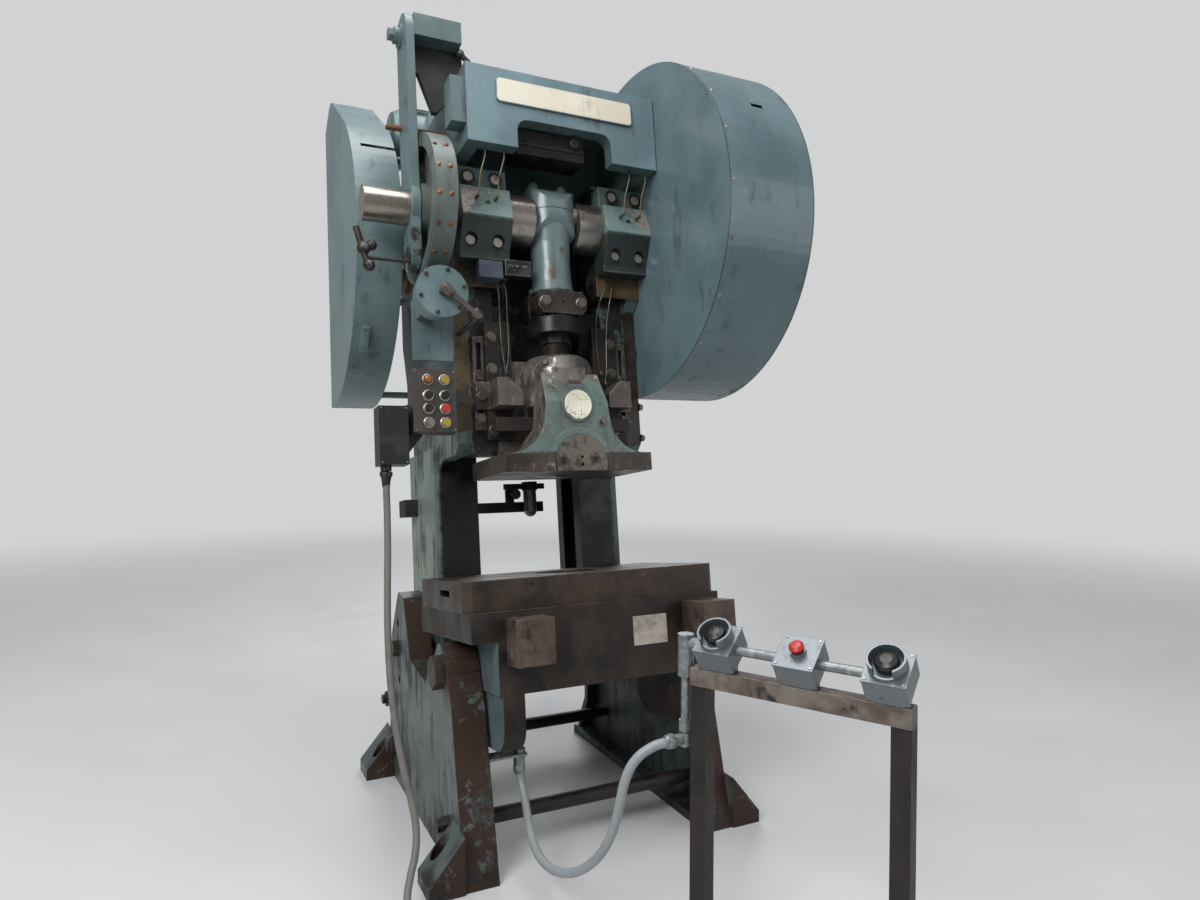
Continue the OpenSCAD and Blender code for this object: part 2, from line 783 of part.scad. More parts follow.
module frame_bolts() {
  color(steel) inclined() for (side = [-1, 1]) {
    for (z = gib_bolt_z) if (z < 600 || z > 750) {
      hex_bolt(side * gib_bolt_x, gib_face - gib_t, z, frame_bolt_d, gib_t + 40);
    }
    for (z = bar_bolt_z) {
      hex_bolt(side * bar_bolt_x, gib_face - bar_t, z, frame_bolt_d, bar_t + 40);
    }
  }
}

module knockout_bar() {
  color(dark_iron) inclined() block([-284, 284], [215, 255], knock_bar);
}

// Dark tank inside the crown's arch that feeds the bearings' oil tubes
module oil_reservoir() {
  color(black) inclined() difference() {
    block([-190, 100], [crown_front + 60, crown_front + 180], [1612, 1712]);
    for (x = [-150, 60]) rod_y(0, crown_front + 90, x, 1662, 14);
  }
}

module oil_tubes() {
  color([0.70, 0.45, 0.25]) inclined() for (side = [-1, 1], place = oil_tube_x) {
    x = side * place;
    rod_y(118, 176, x, 1425, 12);
    strut([x, 126, 1425], [x + 4, 108, 1500], 6);
    translate([x + 4, 108, 1500]) sphere(d = 9);
    strut([x + 4, 108, 1500], [x + 22, 96, 1570], 6);
    translate([x + 22, 96, 1570]) sphere(d = 9);
    translate([x + 22, 96, 1570]) cylinder(h = crown_low - 1570, d = 6);
  }
}

// A turned piece about an axis along X: its profile is drawn as radius and X
module turned(y, z) {
  translate([0, y, z]) rotate([0, 90, 0]) rotate_extrude() children();
}

// Involute tooth form
function inv(a) = tan(a) - a * PI / 180;
function half_angle(m, n, r) =
  (PI * m / 4 - 0.15) / (m * n / 2) * 180 / PI
  + (inv(20) - inv(acos(min(1, m * n / 2 * cos(20) / r)))) * 180 / PI;
function flank(m, n) =
  let (low = m * n / 2 * cos(20) * 1.001, high = m * n / 2 + m)
  [for (i = [0:3]) low + max(0, m * n / 2 - 1.1 * m - low) + (high - max(low, m * n / 2 - 1.1 * m)) * i / 3];
function tooth(m, n, a) =
  let (radii = flank(m, n), root = m * n / 2 - 1.25 * m, h0 = half_angle(m, n, radii[0]))
  concat(
    [root * [cos(a - h0), sin(a - h0)]],
    [for (i = [0:3]) let (b = a - half_angle(m, n, radii[i])) radii[i] * [cos(b), sin(b)]],
    [for (i = [3:-1:0]) let (b = a + half_angle(m, n, radii[i])) radii[i] * [cos(b), sin(b)]],
    [root * [cos(a + h0), sin(a + h0)]]
  );

module toothed_ring(m, n, turn) {
  rotate(turn) polygon([for (k = [0:n - 1]) each tooth(m, n, 360 * k / n)]);
}

module brake_drum() {
  color(steel) inclined() difference() {
    turned(crank_y, crank_z) polygon([
      [journal_r, drum_x0], [100, drum_x0], [100, drum_x0 + 29], [drum_d / 2 - 32, drum_x0 + 29],
      [drum_d / 2 - 32, drum_x0], [drum_d / 2, drum_x0], [drum_d / 2, drum_x1],
      [drum_d / 2 - 32, drum_x1], [drum_d / 2 - 32, drum_x1 - 30], [100, drum_x1 - 30],
      [100, drum_x1], [journal_r, drum_x1]
    ]);
    for (a = [30:60:330]) {
      rod_x(drum_x0 - 16, drum_x1 + 10, crank_y + 165 * cos(a), crank_z + 165 * sin(a), 70);
    }
  }
}

// Split band round the drum, with its two lugs standing on the brake cylinder's block
module brake_band() {
  color([0.45, 0.36, 0.30]) inclined() {
    difference() {
      turned(crank_y, crank_z) polygon([
        [drum_d / 2 + 0.4, drum_x0 + 2], [drum_d / 2 + band_t, drum_x0 + 2],
        [drum_d / 2 + band_t, drum_x1 - 2], [drum_d / 2 + 0.4, drum_x1 - 2]
      ]);
      block([drum_x0 - 6, drum_x1 + 10], [crank_y - 10, crank_y + 10], [1000, 1200]);
    }
    for (side = [-1, 1]) {
      block(
        [brake_x - 16, brake_x + 30], [crank_y + side * 21 - 11, crank_y + side * 21 + 11],
        [brake_z + 40, crank_z - drum_d / 2 - band_t + 4]
      );
    }
  }
}

module brake_cylinder() {
  color(green) inclined() difference() {
    union() {
      translate([brake_x, 0, brake_z]) rotate([-90, 0, 0]) rotate_extrude() polygon([
        [0, 80], [95, 80], [95, 92], [88, 96], [88, 168], [78, 180], [0, 180]
      ]);
      block([brake_x - 35, brake_x + 42], [180, 350], [brake_z - 40, brake_z + 40]);
      block([brake_x - 50, -cheek_out], [330, 350], [830, 1060]);
      // Air pipe from the middle of the cover
      rod_y(46, 81, brake_x + 6, brake_z, 40);
      strut([brake_x + 6, 60, brake_z], [brake_pipe_x, 66, 940], 20);
      translate([brake_pipe_x, 66, 940]) sphere(d = 27);
      rod_y(66, gib_face, brake_pipe_x, 940, 20);
    }
    for (a = [15:60:315]) {
      rod_y(70, 86, brake_x + 82 * cos(a), brake_z + 82 * sin(a), 9);
    }
  }
}

// Flat link hung beside the drum from the crown's bracket, round the end of the crankshaft
module hanger_arm() {
  low = 1225;
  top = 2100;
  half = 75;
  color(green) inclined() {
    difference() {
      union() {
        across(arm_x0, arm_x1) polygon([
          [crank_y - half, low], [crank_y + half, low], [crank_y + half, top], [crank_y - half, top]
        ]);
        rod_x(arm_x0, arm_x1, crank_y, low, 2 * half);
        rod_x(arm_x0, arm_x1, crank_y, top, 2 * half);
        rod_x(arm_x0, arm_x1, crank_y, crank_z, 2 * half + 40);
      }
      rod_x(arm_x0 - cut, arm_x1 + cut, crank_y, crank_z, journal_d + 1);
    }
    // Pivot bolt and washers at the top
    rod_x(arm_x0 - 8, arm_x0, crank_y + 15, top, 92);
    rod_x(arm_x0 - 26, arm_x0 - 8, crank_y + 15, top, 64);
    translate([arm_x0 - 48, crank_y + 15, top]) rotate([0, 90, 0]) cylinder(h = 22, d = 52, $fn = 6);
    // Trip lever of the cam switch, carried by the link's lower end
    rod_x(arm_x0 - 162, arm_x0, 235, 1178, 13);
    strut([arm_x0 - 155, 235, 1136], [arm_x0 - 198, 235, 1290], 24);
    translate([arm_x0 - 155, 235, 1150]) sphere(r = 22);
    translate([arm_x0 - 172, 235, 1212]) sphere(r = 24);
    translate([arm_x0 - 144, 235, 1226]) sphere(r = 20);
    strut([arm_x0 - 172, 235, 1212], [arm_x0 - 144, 235, 1226], 16);
  }
}

module arm_bracket() {
  step = cheek_in - 53;
  side = max(cheek_out, crown_w / 2);
  color(black) inclined() {
    translate([0, 290, 0]) rotate([90, 0, 0]) linear_extrude(28) polygon([
      [arm_x1, 2066], [-cheek_in, 2066], [-cheek_in, crown_top], [-cheek_out, crown_top],
      [-cheek_out, 1862], [-cheek_out - 52, 1798], [-cheek_out - 70, 1798],
      [-cheek_out - 122, 1945], [arm_x1, 1955]
    ]);
    translate([-cheek_in - 13, 240, 2050]) sphere(d = 34);
    strut([-cheek_in - 13, 240, 2050], [-step, 240, 1990], 22);
    translate([-step, 240, 1990]) sphere(d = 29);
    translate([-step, 240, crown_top]) cylinder(h = 1990 - crown_top, d = 22);
    block([-side - 56, -side], [70, 150], [1672, 1850]);
  }
  // Folded sheet cover over the bracket
  color(green) inclined() difference() {
    block([arm_x1, -cheek_in - 17], [200, 420], [2066, 2154]);
    block([arm_x1 + 3, -cheek_in - 20], [203, 421], [2069, 2151]);
  }
}

module main_gear() {
  color(dark_iron) inclined() difference() {
    union() {
      difference() {
        across(gear_x0, gear_x1) translate([crank_y, crank_z])
          toothed_ring(gear_module, gear_teeth, mesh_angle);
        rod_x(gear_x0 - cut, gear_x1 + cut, crank_y, crank_z, 1150);
      }
      rod_x(gear_x0 + 42, gear_x1 - 42, crank_y, crank_z, 1152);
      rod_x(gear_x0, gear_x1, crank_y, crank_z, 230);
    }
    rod_x(gear_x0 - cut, gear_x1 + cut, crank_y, crank_z, journal_d + 2 * fit);
    for (a = [0:60:300]) {
      rod_x(gear_x0, gear_x1, crank_y + 350 * cos(a), crank_z + 350 * sin(a), 190);
    }
  }
}

module air_clutch() {
  color(cast_grey) inclined() turned(crank_y, crank_z) polygon([
    [journal_r, gear_x1 + 2], [270, gear_x1 + 2], [270, gear_x1 + 60], [225, gear_x1 + 80],
    [225, gear_x1 + 100], [110, gear_x1 + 100], [110, clutch_x1], [journal_r, clutch_x1]
  ]);
}

module backshaft() {
  color(steel) inclined() {
    rod_x(fly_x0 - 10, gear_x1 + 40, back_y, back_z, backshaft_d);
    across(gear_x0 - 4, gear_x1 + 4) translate([back_y, back_z])
      toothed_ring(gear_module, pinion_teeth, mesh_angle + 180 / pinion_teeth);
  }
}

module backshaft_bearings() {
  color([0.72, 0.56, 0.30]) inclined() both_sides() turned(back_y, back_z) polygon([
    [backshaft_d / 2 + fit, -cheek_out - 12], [95, -cheek_out - 12], [95, -cheek_out],
    [backshaft_d / 2 + 25, -cheek_out], [backshaft_d / 2 + 25, -cheek_in], [backshaft_d / 2 + fit, -cheek_in]
  ]);
}

module flywheel() {
  rim = flywheel_d / 2;
  color(cast_grey) inclined() difference() {
    turned(back_y, back_z) polygon([
      [backshaft_d / 2, fly_x0], [100, fly_x0], [100, fly_x0 + 28], [rim - 75, fly_x0 + 28],
      [rim - 75, fly_x0], [rim, fly_x0], [rim, fly_x1], [rim - 75, fly_x1],
      [rim - 75, fly_x0 + 56], [100, fly_x0 + 56],
      [100, fly_x1], [backshaft_d / 2, fly_x1]
    ]);
    for (a = [0:60:300]) {
      rod_x(fly_x0 + 20, fly_x0 + 70, back_y + 285 * cos(a), back_z + 285 * sin(a), 150);
    }
  }
}

module motor() {
  color(green) inclined() difference() {
    union() {
      turned(motor_y, motor_z) polygon([
        [0, motor_x], [60, motor_x], [66, motor_x + 12], [118, motor_x + 20],
        [motor_r - 4, motor_x + 50], [motor_r - 4, motor_x + 70], [motor_r, motor_x + 70],
        [motor_r, motor_x + 410], [motor_r - 4, motor_x + 410], [motor_r - 4, motor_x + 460],
        [110, motor_x + 520], [0, motor_x + 526]
      ]);
      block([motor_x + 90, motor_x + 410], [motor_y - 110, motor_y + 70], [crown_top, crown_top + 22]);
      block([motor_x + 90, motor_x + 410], [motor_y - 95, motor_y - 60], [crown_top, motor_z - 60]);
      block([motor_x + 90, motor_x + 410], [motor_y + 35, motor_y + 65], [crown_top, motor_z - 60]);
      block(
        [motor_x + 160, motor_x + 300], [motor_y - motor_r - 50, motor_y - 60],
        [motor_z - 40, motor_z + 60]
      );
    }
    rod_x(motor_x - 10, motor_x + 50, motor_y, motor_z, 42.8);
  }
}

module motor_sheave() {
  color(dark_iron) inclined() {
    rod_x(fly_x0, motor_x + 38, motor_y, motor_z, 42);
    turned(motor_y, motor_z) polygon([
      [0, fly_x0], [sheave_r, fly_x0], [sheave_r, fly_x1], [0, fly_x1]
    ]);
  }
}

// Four belts from the motor's sheave round the flywheel
module drive_belts() {
  hub = [motor_y, motor_z];
  axle = [back_y, back_z];
  outer = flywheel_d / 2 + belt_gap + belt_t;
  color(black) inclined() for (i = [0:3]) {
    x = fly_x0 + 5 + 20.5 * i;
    difference() {
      across(x, x + 17) polygon(loop_points(axle, outer, hub, sheave_r + belt_gap + belt_t));
      across(x - cut, x + 18) polygon(loop_points(axle, outer - belt_t, hub, sheave_r + belt_gap));
    }
  }
}

module gear_loop(grow) {
  polygon(loop_points([crank_y, crank_z], gear_guard_r + grow, [back_y, back_z], 260 + grow));
}

module gear_guard_side() {
  color(green) inclined() {
    difference() {
      across(saddle_out, guard_x0) gear_loop(0);
      rod_x(0, guard_x0 + 92, crank_y, crank_z, 2 * bush_r + 40);
      rod_x(0, guard_x0 + 92, back_y, back_z, 250);
    }
    difference() {
      across(guard_x1 - guard_t, guard_x1) gear_loop(0);
    }
    // Domed cap over the clutch on the far side
    turned(crank_y, crank_z) polygon([
      [0, guard_x1 - 1], [190, guard_x1 - 1], [188, guard_x1 + 5], [150, guard_x1 + 14], [0, guard_x1 + 15]
    ]);
  }
}

module gear_guard_rim() {
  color(green) inclined() difference() {
    across(guard_x0, guard_x1 - guard_t) gear_loop(0);
    across(guard_x0 - cut, guard_x1) gear_loop(-guard_t);
    block([guard_x0 + 177, guard_x0 + 232], [-600, 0], [1705, 1722]);
  }
}

module fly_loop(grow) {
  polygon(loop_points([back_y, back_z], fly_guard_r + grow, [motor_y, motor_z], 112 + grow));
}

module flywheel_guard() {
  color(green) inclined() {
    difference() {
      across(fly_guard_x0, fly_guard_x1) fly_loop(0);
      across(fly_guard_x0 + guard_t, fly_guard_x1 + cut) fly_loop(-guard_t);
      block([fly_guard_x0 - cut, fly_guard_x1 + cut], [1160, 2000], [0, 2400]);
      block([fly_guard_x0 + 40, fly_guard_x1 + cut], [300, 620], [1744, 1760]);
    }
    // Stays across to the cheek, outside the belts
    for (a = [150, 210, 264]) {
      rod_x(fly_guard_x0 + 2, -cheek_out, back_y + 602 * cos(a), back_z + 602 * sin(a), 30);
    }
    // Latch on the rim
    translate([fly_guard_x0 + 52, back_y, back_z]) rotate([223.6, 0, 0]) {
      block([-16, 16], [fly_guard_r - guard_t + 0.2, fly_guard_r + 20], [-56, 56]);
      block([-9, 9], [fly_guard_r + 19, fly_guard_r + 32], [-38, 24]);
    }
  }
}

module control_box() {
  color(green) inclined() {
    difference() {
      block([panel_x0, panel_x0 + panel_w], [150, 230], [panel_z0, panel_z0 + panel_h]);
      for (x = device_x, z = device_z) if (x != device_x[0] || z != device_z[0]) {
        rod_y(140, 172, x, z, 23);
      }
    }
    for (z = device_z, x = device_x) if (x != device_x[0] || z != device_z[0]) {
      difference() {
        rod_y(146, 150, x, z, 34);
        rod_y(140, 155, x, z, 24);
      }
    }
    rod_y(144, 150, device_x[0], device_z[0], 34);
    translate([device_x[0], 144, device_z[0]]) sphere(r = 13);
    block([panel_x0 + 12, -cheek_out - 12], [230, 242], [650, 700]);
    block([-cheek_out - 12, -cheek_out], [230, 420], [650, 700]);
  }
}

module push_cap(x, z) {
  inclined() {
    rod_y(140, 158, x, z, 22);
    rod_y(134, 140, x, z, 30);
  }
}

module turn_knob(x, z) {
  inclined() {
    rod_y(140, 166, x, z, 22);
    rod_y(135, 145, x, z, 29);
    block([x - 4.5, x + 4.5], [124, 136], [z - 14, z + 14]);
  }
}

module button_key() {
  color([0.80, 0.70, 0.20]) push_cap(device_x[1], device_z[0]);
}

module button_black() {
  color(black) push_cap(device_x[1], device_z[1]);
}

module button_red() {
  color([0.65, 0.10, 0.08]) push_cap(device_x[1], device_z[2]);
}

module button_yellow() {
  color([0.75, 0.65, 0.15]) push_cap(device_x[1], device_z[3]);
}

module selector_top() {
  color(black) turn_knob(device_x[0], device_z[1]);
}

module selector_middle() {
  color(black) turn_knob(device_x[0], device_z[2]);
}

module selector_low() {
  color(steel) turn_knob(device_x[0], device_z[3]);
}

module junction_box() {
  color(black) inclined() {
    block([panel_x0 - 122, panel_x0 - 20], [144, 230], [414, 620]);
    translate([panel_x0, 238, 0]) rotate([90, 0, 0]) linear_extrude(8) polygon([
      [-108, 430], [-108, 610], [22, 645], [112, 645], [112, 560], [52, 530], [-28, 430]
    ]);
    translate([cable_x, 180, 394]) cylinder(h = 20, d = 38);
  }
}

// Air preparation unit across the back of the throat: rails, filter bowl and hose
module air_unit() {
  color(steel) inclined() {
    block([-back_in, 207], [985, 1000], [266, 314]);
    block([8, 211], [970, 985], [374, 400]);
    block([20, 60], [985, 1000], [314, 390]);
    block([20, 60], [970, 985], [370, 398]);
    translate([128, 955, 272]) cylinder(h = 100, d = 62);
    translate([128, 955, 366]) cylinder(h = 40, d = 74);
    translate([128, 955, 272]) sphere(d = 62);
  }
  color(black) inclined() block([-column_out - 58, -column_out], [905, 1015], [262, 336]);
}

// The two-hand stand's own frame: X along its rail, Y away from the press operator
module at_stand() {
  translate([-54, -1180, 0]) rotate([0, 0, -62.3]) children();
}

module at_station(x) {
  at_stand() translate([x, station_y, station_z]) rotate([station_tilt, 0, 0]) children();
}

module stand_frame() {
  color(dark_iron) at_stand() {
    block([0, rail_l], [0, 5], [rail_z - 50, rail_z]);
    block([0, rail_l], [0, 50], [rail_z - 5, rail_z]);
    for (x = [0, rail_l - 50]) {
      difference() {
        block([x, x + 50], [5, 55], [10, rail_z - 5]);
        block([x + 4, x + 46], [9, 51], [9, rail_z - 60]);
      }
      block([x - 50, x + 100], [-45, 105], [0, 10]);
    }
  }
}

// Three sloping boxes; the outer two carry a guard ring round the palm button
module station_boxes() {
  half = station_w / 2;
  color([0.55, 0.57, 0.57]) {
    for (x = station_x) at_station(x) {
      difference() {
        union() {
          block([-half, half], [-half, half], [-35, 32]);
          block([-half - 2, half + 2], [-half - 2, half + 2], [32, 36]);
          cylinder(h = 42, d = 44);
        }
        translate([0, 0, 10]) cylinder(h = 40, d = 25);
      }
    }
    for (x = [station_x[0], station_x[2]]) at_station(x) difference() {
      translate([0, 0, 36]) cylinder(h = 34, d = palm_d + 34);
      translate([0, 0, 35]) cylinder(h = 40, d = palm_d + 22);
      block([-24, 24], [-80, 0], [46, 80]);
    }
    for (x = station_x) at_stand() translate([x - 40, 0, 0]) rotate([90, 0, 90])
      linear_extrude(80) polygon([
        [2, rail_z], [50, rail_z], [50, seat_z(50)], [station_y - 25, seat_z(station_y - 25)]
      ]);
  }
}

// Height of a tilted box's underside at a place across the rail
function seat_z(y) =
  station_z - 35 / cos(station_tilt) + (y - station_y) * tan(station_tilt) + 0.5;

module palm_button(x) {
  color(black) at_station(x) {
    translate([0, 0, 20]) cylinder(h = 32, d = 24);
    translate([0, 0, 50]) rotate_extrude() polygon([
      [0, 0], [palm_d / 2, 0], [palm_d / 2, 6], [palm_d / 2 - 5, 13], [palm_d / 2 - 16, 18], [0, 20]
    ]);
  }
}

module palm_button_left() {
  palm_button(station_x[0]);
}

module palm_button_right() {
  palm_button(station_x[2]);
}

module stop_button() {
  color([0.70, 0.10, 0.08]) at_station(station_x[1]) {
    translate([0, 0, 20]) cylinder(h = 32, d = 24);
    translate([0, 0, 50]) rotate_extrude() polygon([
      [0, 0], [17, 0], [20, 4], [20, 10], [13, 15], [0, 17]
    ]);
  }
}

module rigid_conduit() {
  half = station_w / 2;
  drop_x = -25;
  color(steel) at_stand() {
    for (i = [0, 1]) translate([station_x[i] + half, station_y, station_z]) rotate([0, 90, 0])
      cylinder(h = station_x[i + 1] - station_x[i] - station_w, d = 26);
    // Elbow fitting, drop pipe with its union, and the lower elbow
    translate([drop_x, station_y, station_z]) rotate([0, 90, 0])
      cylinder(h = station_x[0] - half - drop_x, d = 32);
    translate([drop_x, station_y, station_z - 96]) cylinder(h = 120, d = 46);
    translate([drop_x, station_y, conduit_z + 10]) cylinder(h = station_z - 60 - conduit_z, d = 26);
    translate([drop_x, station_y, conduit_z + 24]) cylinder(h = 30, d = 42, $fn = 6);
    translate([drop_x, station_y, conduit_z - 19]) cylinder(h = 38, d = 36);
    translate([drop_x, station_y, conduit_z]) rotate([0, 0, 62.3]) rotate([0, -90, 0])
      cylinder(h = 40, d = 32);
  }
  // Connector and its bracket on the left leg, where the flexible conduit ends
  color(dark_iron) {
    block([-leg_in, -262], [-462, -402], [366, 374]);
    translate([-282, -432, 326]) cylinder(h = 40, d = 40);
    translate([-282, -432, 374]) cylinder(h = 12, d = 44, $fn = 6);
  }
}

// Smooth points through a list, in two steps between neighbours
function through(p) = [
  for (i = [0:len(p) - 2], j = [0:1])
    let (
      a = i > 0 ? p[i - 1] : p[0] * 2 - p[1], b = p[i], c = p[i + 1],
      d = i < len(p) - 2 ? p[i + 2] : p[i + 1] * 2 - p[i], t = j / 2
    )
    b + (c - a) * t / 2 + (a * 2 - b * 5 + c * 4 - d) * t * t / 2
    + (b * 3 - a - c * 3 + d) * t * t * t / 2,
  p[len(p) - 1]
];

function unit(v) = v / norm(v);
function tangent(p, i) =
  unit(p[min(i + 1, len(p) - 1)] - p[max(i - 1, 0)]);
function side_dir(p, i, u) = let (t = tangent(p, i), v = unit(u - t * (u * t)))
  i == len(p) - 1 ? [v] : concat([v], side_dir(p, i + 1, v));

module cord(route, d, first) {
  p = through(route);
  n = 10;
  u = side_dir(p, 0, first);
  rings = [for (i = [0:len(p) - 1], k = [0:n - 1])
    let (w = cross(tangent(p, i), u[i]), a = 360 * k / n)
    p[i] + d / 2 * (u[i] * cos(a) + w * sin(a))];
  last = len(p) - 1;
  polyhedron(rings, concat(
    [[for (k = [0:n - 1]) k]],
    [for (i = [0:last - 1], k = [0:n - 1])
      let (a = i * n + k, b = i * n + (k + 1) % n) [a, a + n, b + n]],
    [for (i = [0:last - 1], k = [0:n - 1])
      let (a = i * n + k, b = i * n + (k + 1) % n) [a, b + n, b]],
    [[for (k = [n - 1:-1:0]) last * n + k]]
  ));
}

module flexible_conduit() {
  color([0.50, 0.50, 0.48]) cord(conduit_route, 28, [0, 1, 0]);
}

module supply_cable() {
  color(cast_grey) cord(cable_route, 24, [1, 0, 0]);
}

// The rest of the cable, coiled on the floor, with its plug lying across the top turns
module supply_coil() {
  plug_d = 60;
  color(cast_grey) translate([-883, -850, 0]) rotate_extrude() polygon([
    [120, 8], [128, 0], [160, 0], [168, 8], [168, 40], [160, 48], [128, 48], [120, 40]
  ]);
  color(black) translate([-883, -850, 48.3 + plug_d / 2]) rotate([0, 0, -135])
    translate([144, 70, 0]) rotate([90, 0, 0]) {
      cylinder(h = 92, d = plug_d);
      cylinder(h = 140, d = plug_d - 12);
    }
}

left_leg();
right_leg();
tie_rods();
pivot_bolts();
lock_bolts();
main_frame();
bolster_plate();
crankshaft();
crank_bushings();
bearing_caps();
cap_bolts();
pitman();
pitman_cap();
clamp_cap();
clamp_bolts();
adjusting_screw();
ram();
shank_clamp();
gib_plates();
frame_bolts();
knockout_bar();
stop_bars();
stop_blocks();
oil_reservoir();
oil_tubes();
brake_drum();
brake_band();
brake_cylinder();
hanger_arm();
arm_bracket();
main_gear();
air_clutch();
backshaft();
backshaft_bearings();
flywheel();
motor();
motor_sheave();
drive_belts();
gear_guard_side();
gear_guard_rim();
flywheel_guard();
control_box();
button_key();
button_black();
button_red();
button_yellow();
selector_top();
selector_middle();
selector_low();
junction_box();
air_unit();
stand_frame();
station_boxes();
palm_button_left();
palm_button_right();
stop_button();
rigid_conduit();
flexible_conduit();
supply_cable();
supply_coil();
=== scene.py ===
"""Looks of an open-back inclinable stamping press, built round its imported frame.

Sizes are written in millimetres in the press's own upright frame, whose origin is on the top
front edge of the bolster, or in the frame of the floor or of the two-hand stand. Every finished
piece is set down in metres in the part's own frame, with its object at the origin.
"""

import logging
import math
from dataclasses import dataclass, field
from enum import Enum
from typing import Callable, Dict, List, Optional, Sequence, Tuple, Union

import bpy
from mathutils import Euler, Matrix, Vector


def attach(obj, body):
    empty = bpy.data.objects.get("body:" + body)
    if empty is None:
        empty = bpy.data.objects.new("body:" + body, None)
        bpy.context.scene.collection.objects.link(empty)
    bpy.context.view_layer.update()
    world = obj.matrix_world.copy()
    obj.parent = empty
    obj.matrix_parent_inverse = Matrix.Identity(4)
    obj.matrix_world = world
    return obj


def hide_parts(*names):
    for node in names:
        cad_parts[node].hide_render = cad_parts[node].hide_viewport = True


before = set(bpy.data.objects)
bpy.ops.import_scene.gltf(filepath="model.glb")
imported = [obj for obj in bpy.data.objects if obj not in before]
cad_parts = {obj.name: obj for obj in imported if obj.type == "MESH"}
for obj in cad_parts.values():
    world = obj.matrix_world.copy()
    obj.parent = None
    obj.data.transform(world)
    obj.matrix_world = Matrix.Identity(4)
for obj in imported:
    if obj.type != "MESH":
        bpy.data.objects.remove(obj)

log = logging.getLogger("stamping_press")

Colour = Tuple[float, float, float]
Point = Tuple[float, float, float]
Flat = Tuple[float, float]
Bound = Tuple[Optional[float], Optional[float], Optional[float]]
Socket = bpy.types.NodeSocket
Value = Union[float, Socket]
Tint = Union[Colour, Socket]
Feed = Union[float, Colour, Socket, Vector, Euler]
Piece = bpy.types.Object

MM = 0.001
LEAN = Matrix.Translation((0, -0.480, 0.996)) @ Matrix.Rotation(math.radians(-8), 4, "X")
STAND = Matrix.Translation((-0.054, -1.180, 0)) @ Matrix.Rotation(math.radians(-62.3), 4, "Z")
CRANK: Flat = (275, 1400)
HERE: Point = (0, 0, 0)
FORWARD: Point = (0, -1, 0)
SIDEWAYS: Point = (1, 0, 0)
UP: Point = (0, 0, 1)
DOWN: Point = (0, 0, -1)
OPEN: Bound = (None, None, None)


class Place(Enum):
    """The frames that sizes are written in."""

    PRESS = "press"
    FLOOR = "floor"
    STAND = "stand"

    def matrix(self) -> Matrix:
        """The move from this frame, in metres, to the part's own frame."""
        return {"press": LEAN, "floor": Matrix.Identity(4), "stand": STAND}[self.value]


def swatch(code: str) -> Colour:
    """Turn a colour into linear red, green and blue.

    Args:
        code: the colour as six hexadecimal digits.

    Returns:
        The three parts, from 0 to 1.
    """
    parts = [int(code[i : i + 2], 16) / 255 for i in (0, 2, 4)]
    red, green, blue = [p / 12.92 if p <= 0.04045 else ((p + 0.055) / 1.055) ** 2.4 for p in parts]
    return (red, green, blue)


def feed(tree: bpy.types.NodeTree, socket: Socket, value: Feed) -> None:
    """Set a socket to a number or colour, or link it to another node's output.

    Args:
        tree: the nodes that the socket is among.
        socket: the socket.
        value: what goes into it.
    """
    if isinstance(value, bpy.types.NodeSocket):
        tree.links.new(value, socket)
    elif isinstance(value, tuple) and socket.type == "RGBA":
        socket.default_value = (*value, 1.0)
    else:
        socket.default_value = value


def wire(
    tree: bpy.types.NodeTree, kind: str, feeds: Dict[Union[int, str], Feed], **settings: object
) -> bpy.types.Node:
    """Add a node.

    Args:
        tree: the nodes it joins.
        kind: Blender's name for it.
        feeds: what goes into its sockets, by name or number.
        settings: its own settings, such as operation or data_type.

    Returns:
        The node.
    """
    node = tree.nodes.new(kind)
    for name, value in settings.items():
        setattr(node, name, value)
    for name, value in feeds.items():
        feed(tree, node.inputs[name], value)
    return node


@dataclass
class Layer:
    """One coat on a surface: its colour, roughness, metalness and height in millimetres."""

    colour: Tint
    rough: Value
    metal: Value = 0.0
    height: Value = 0.0


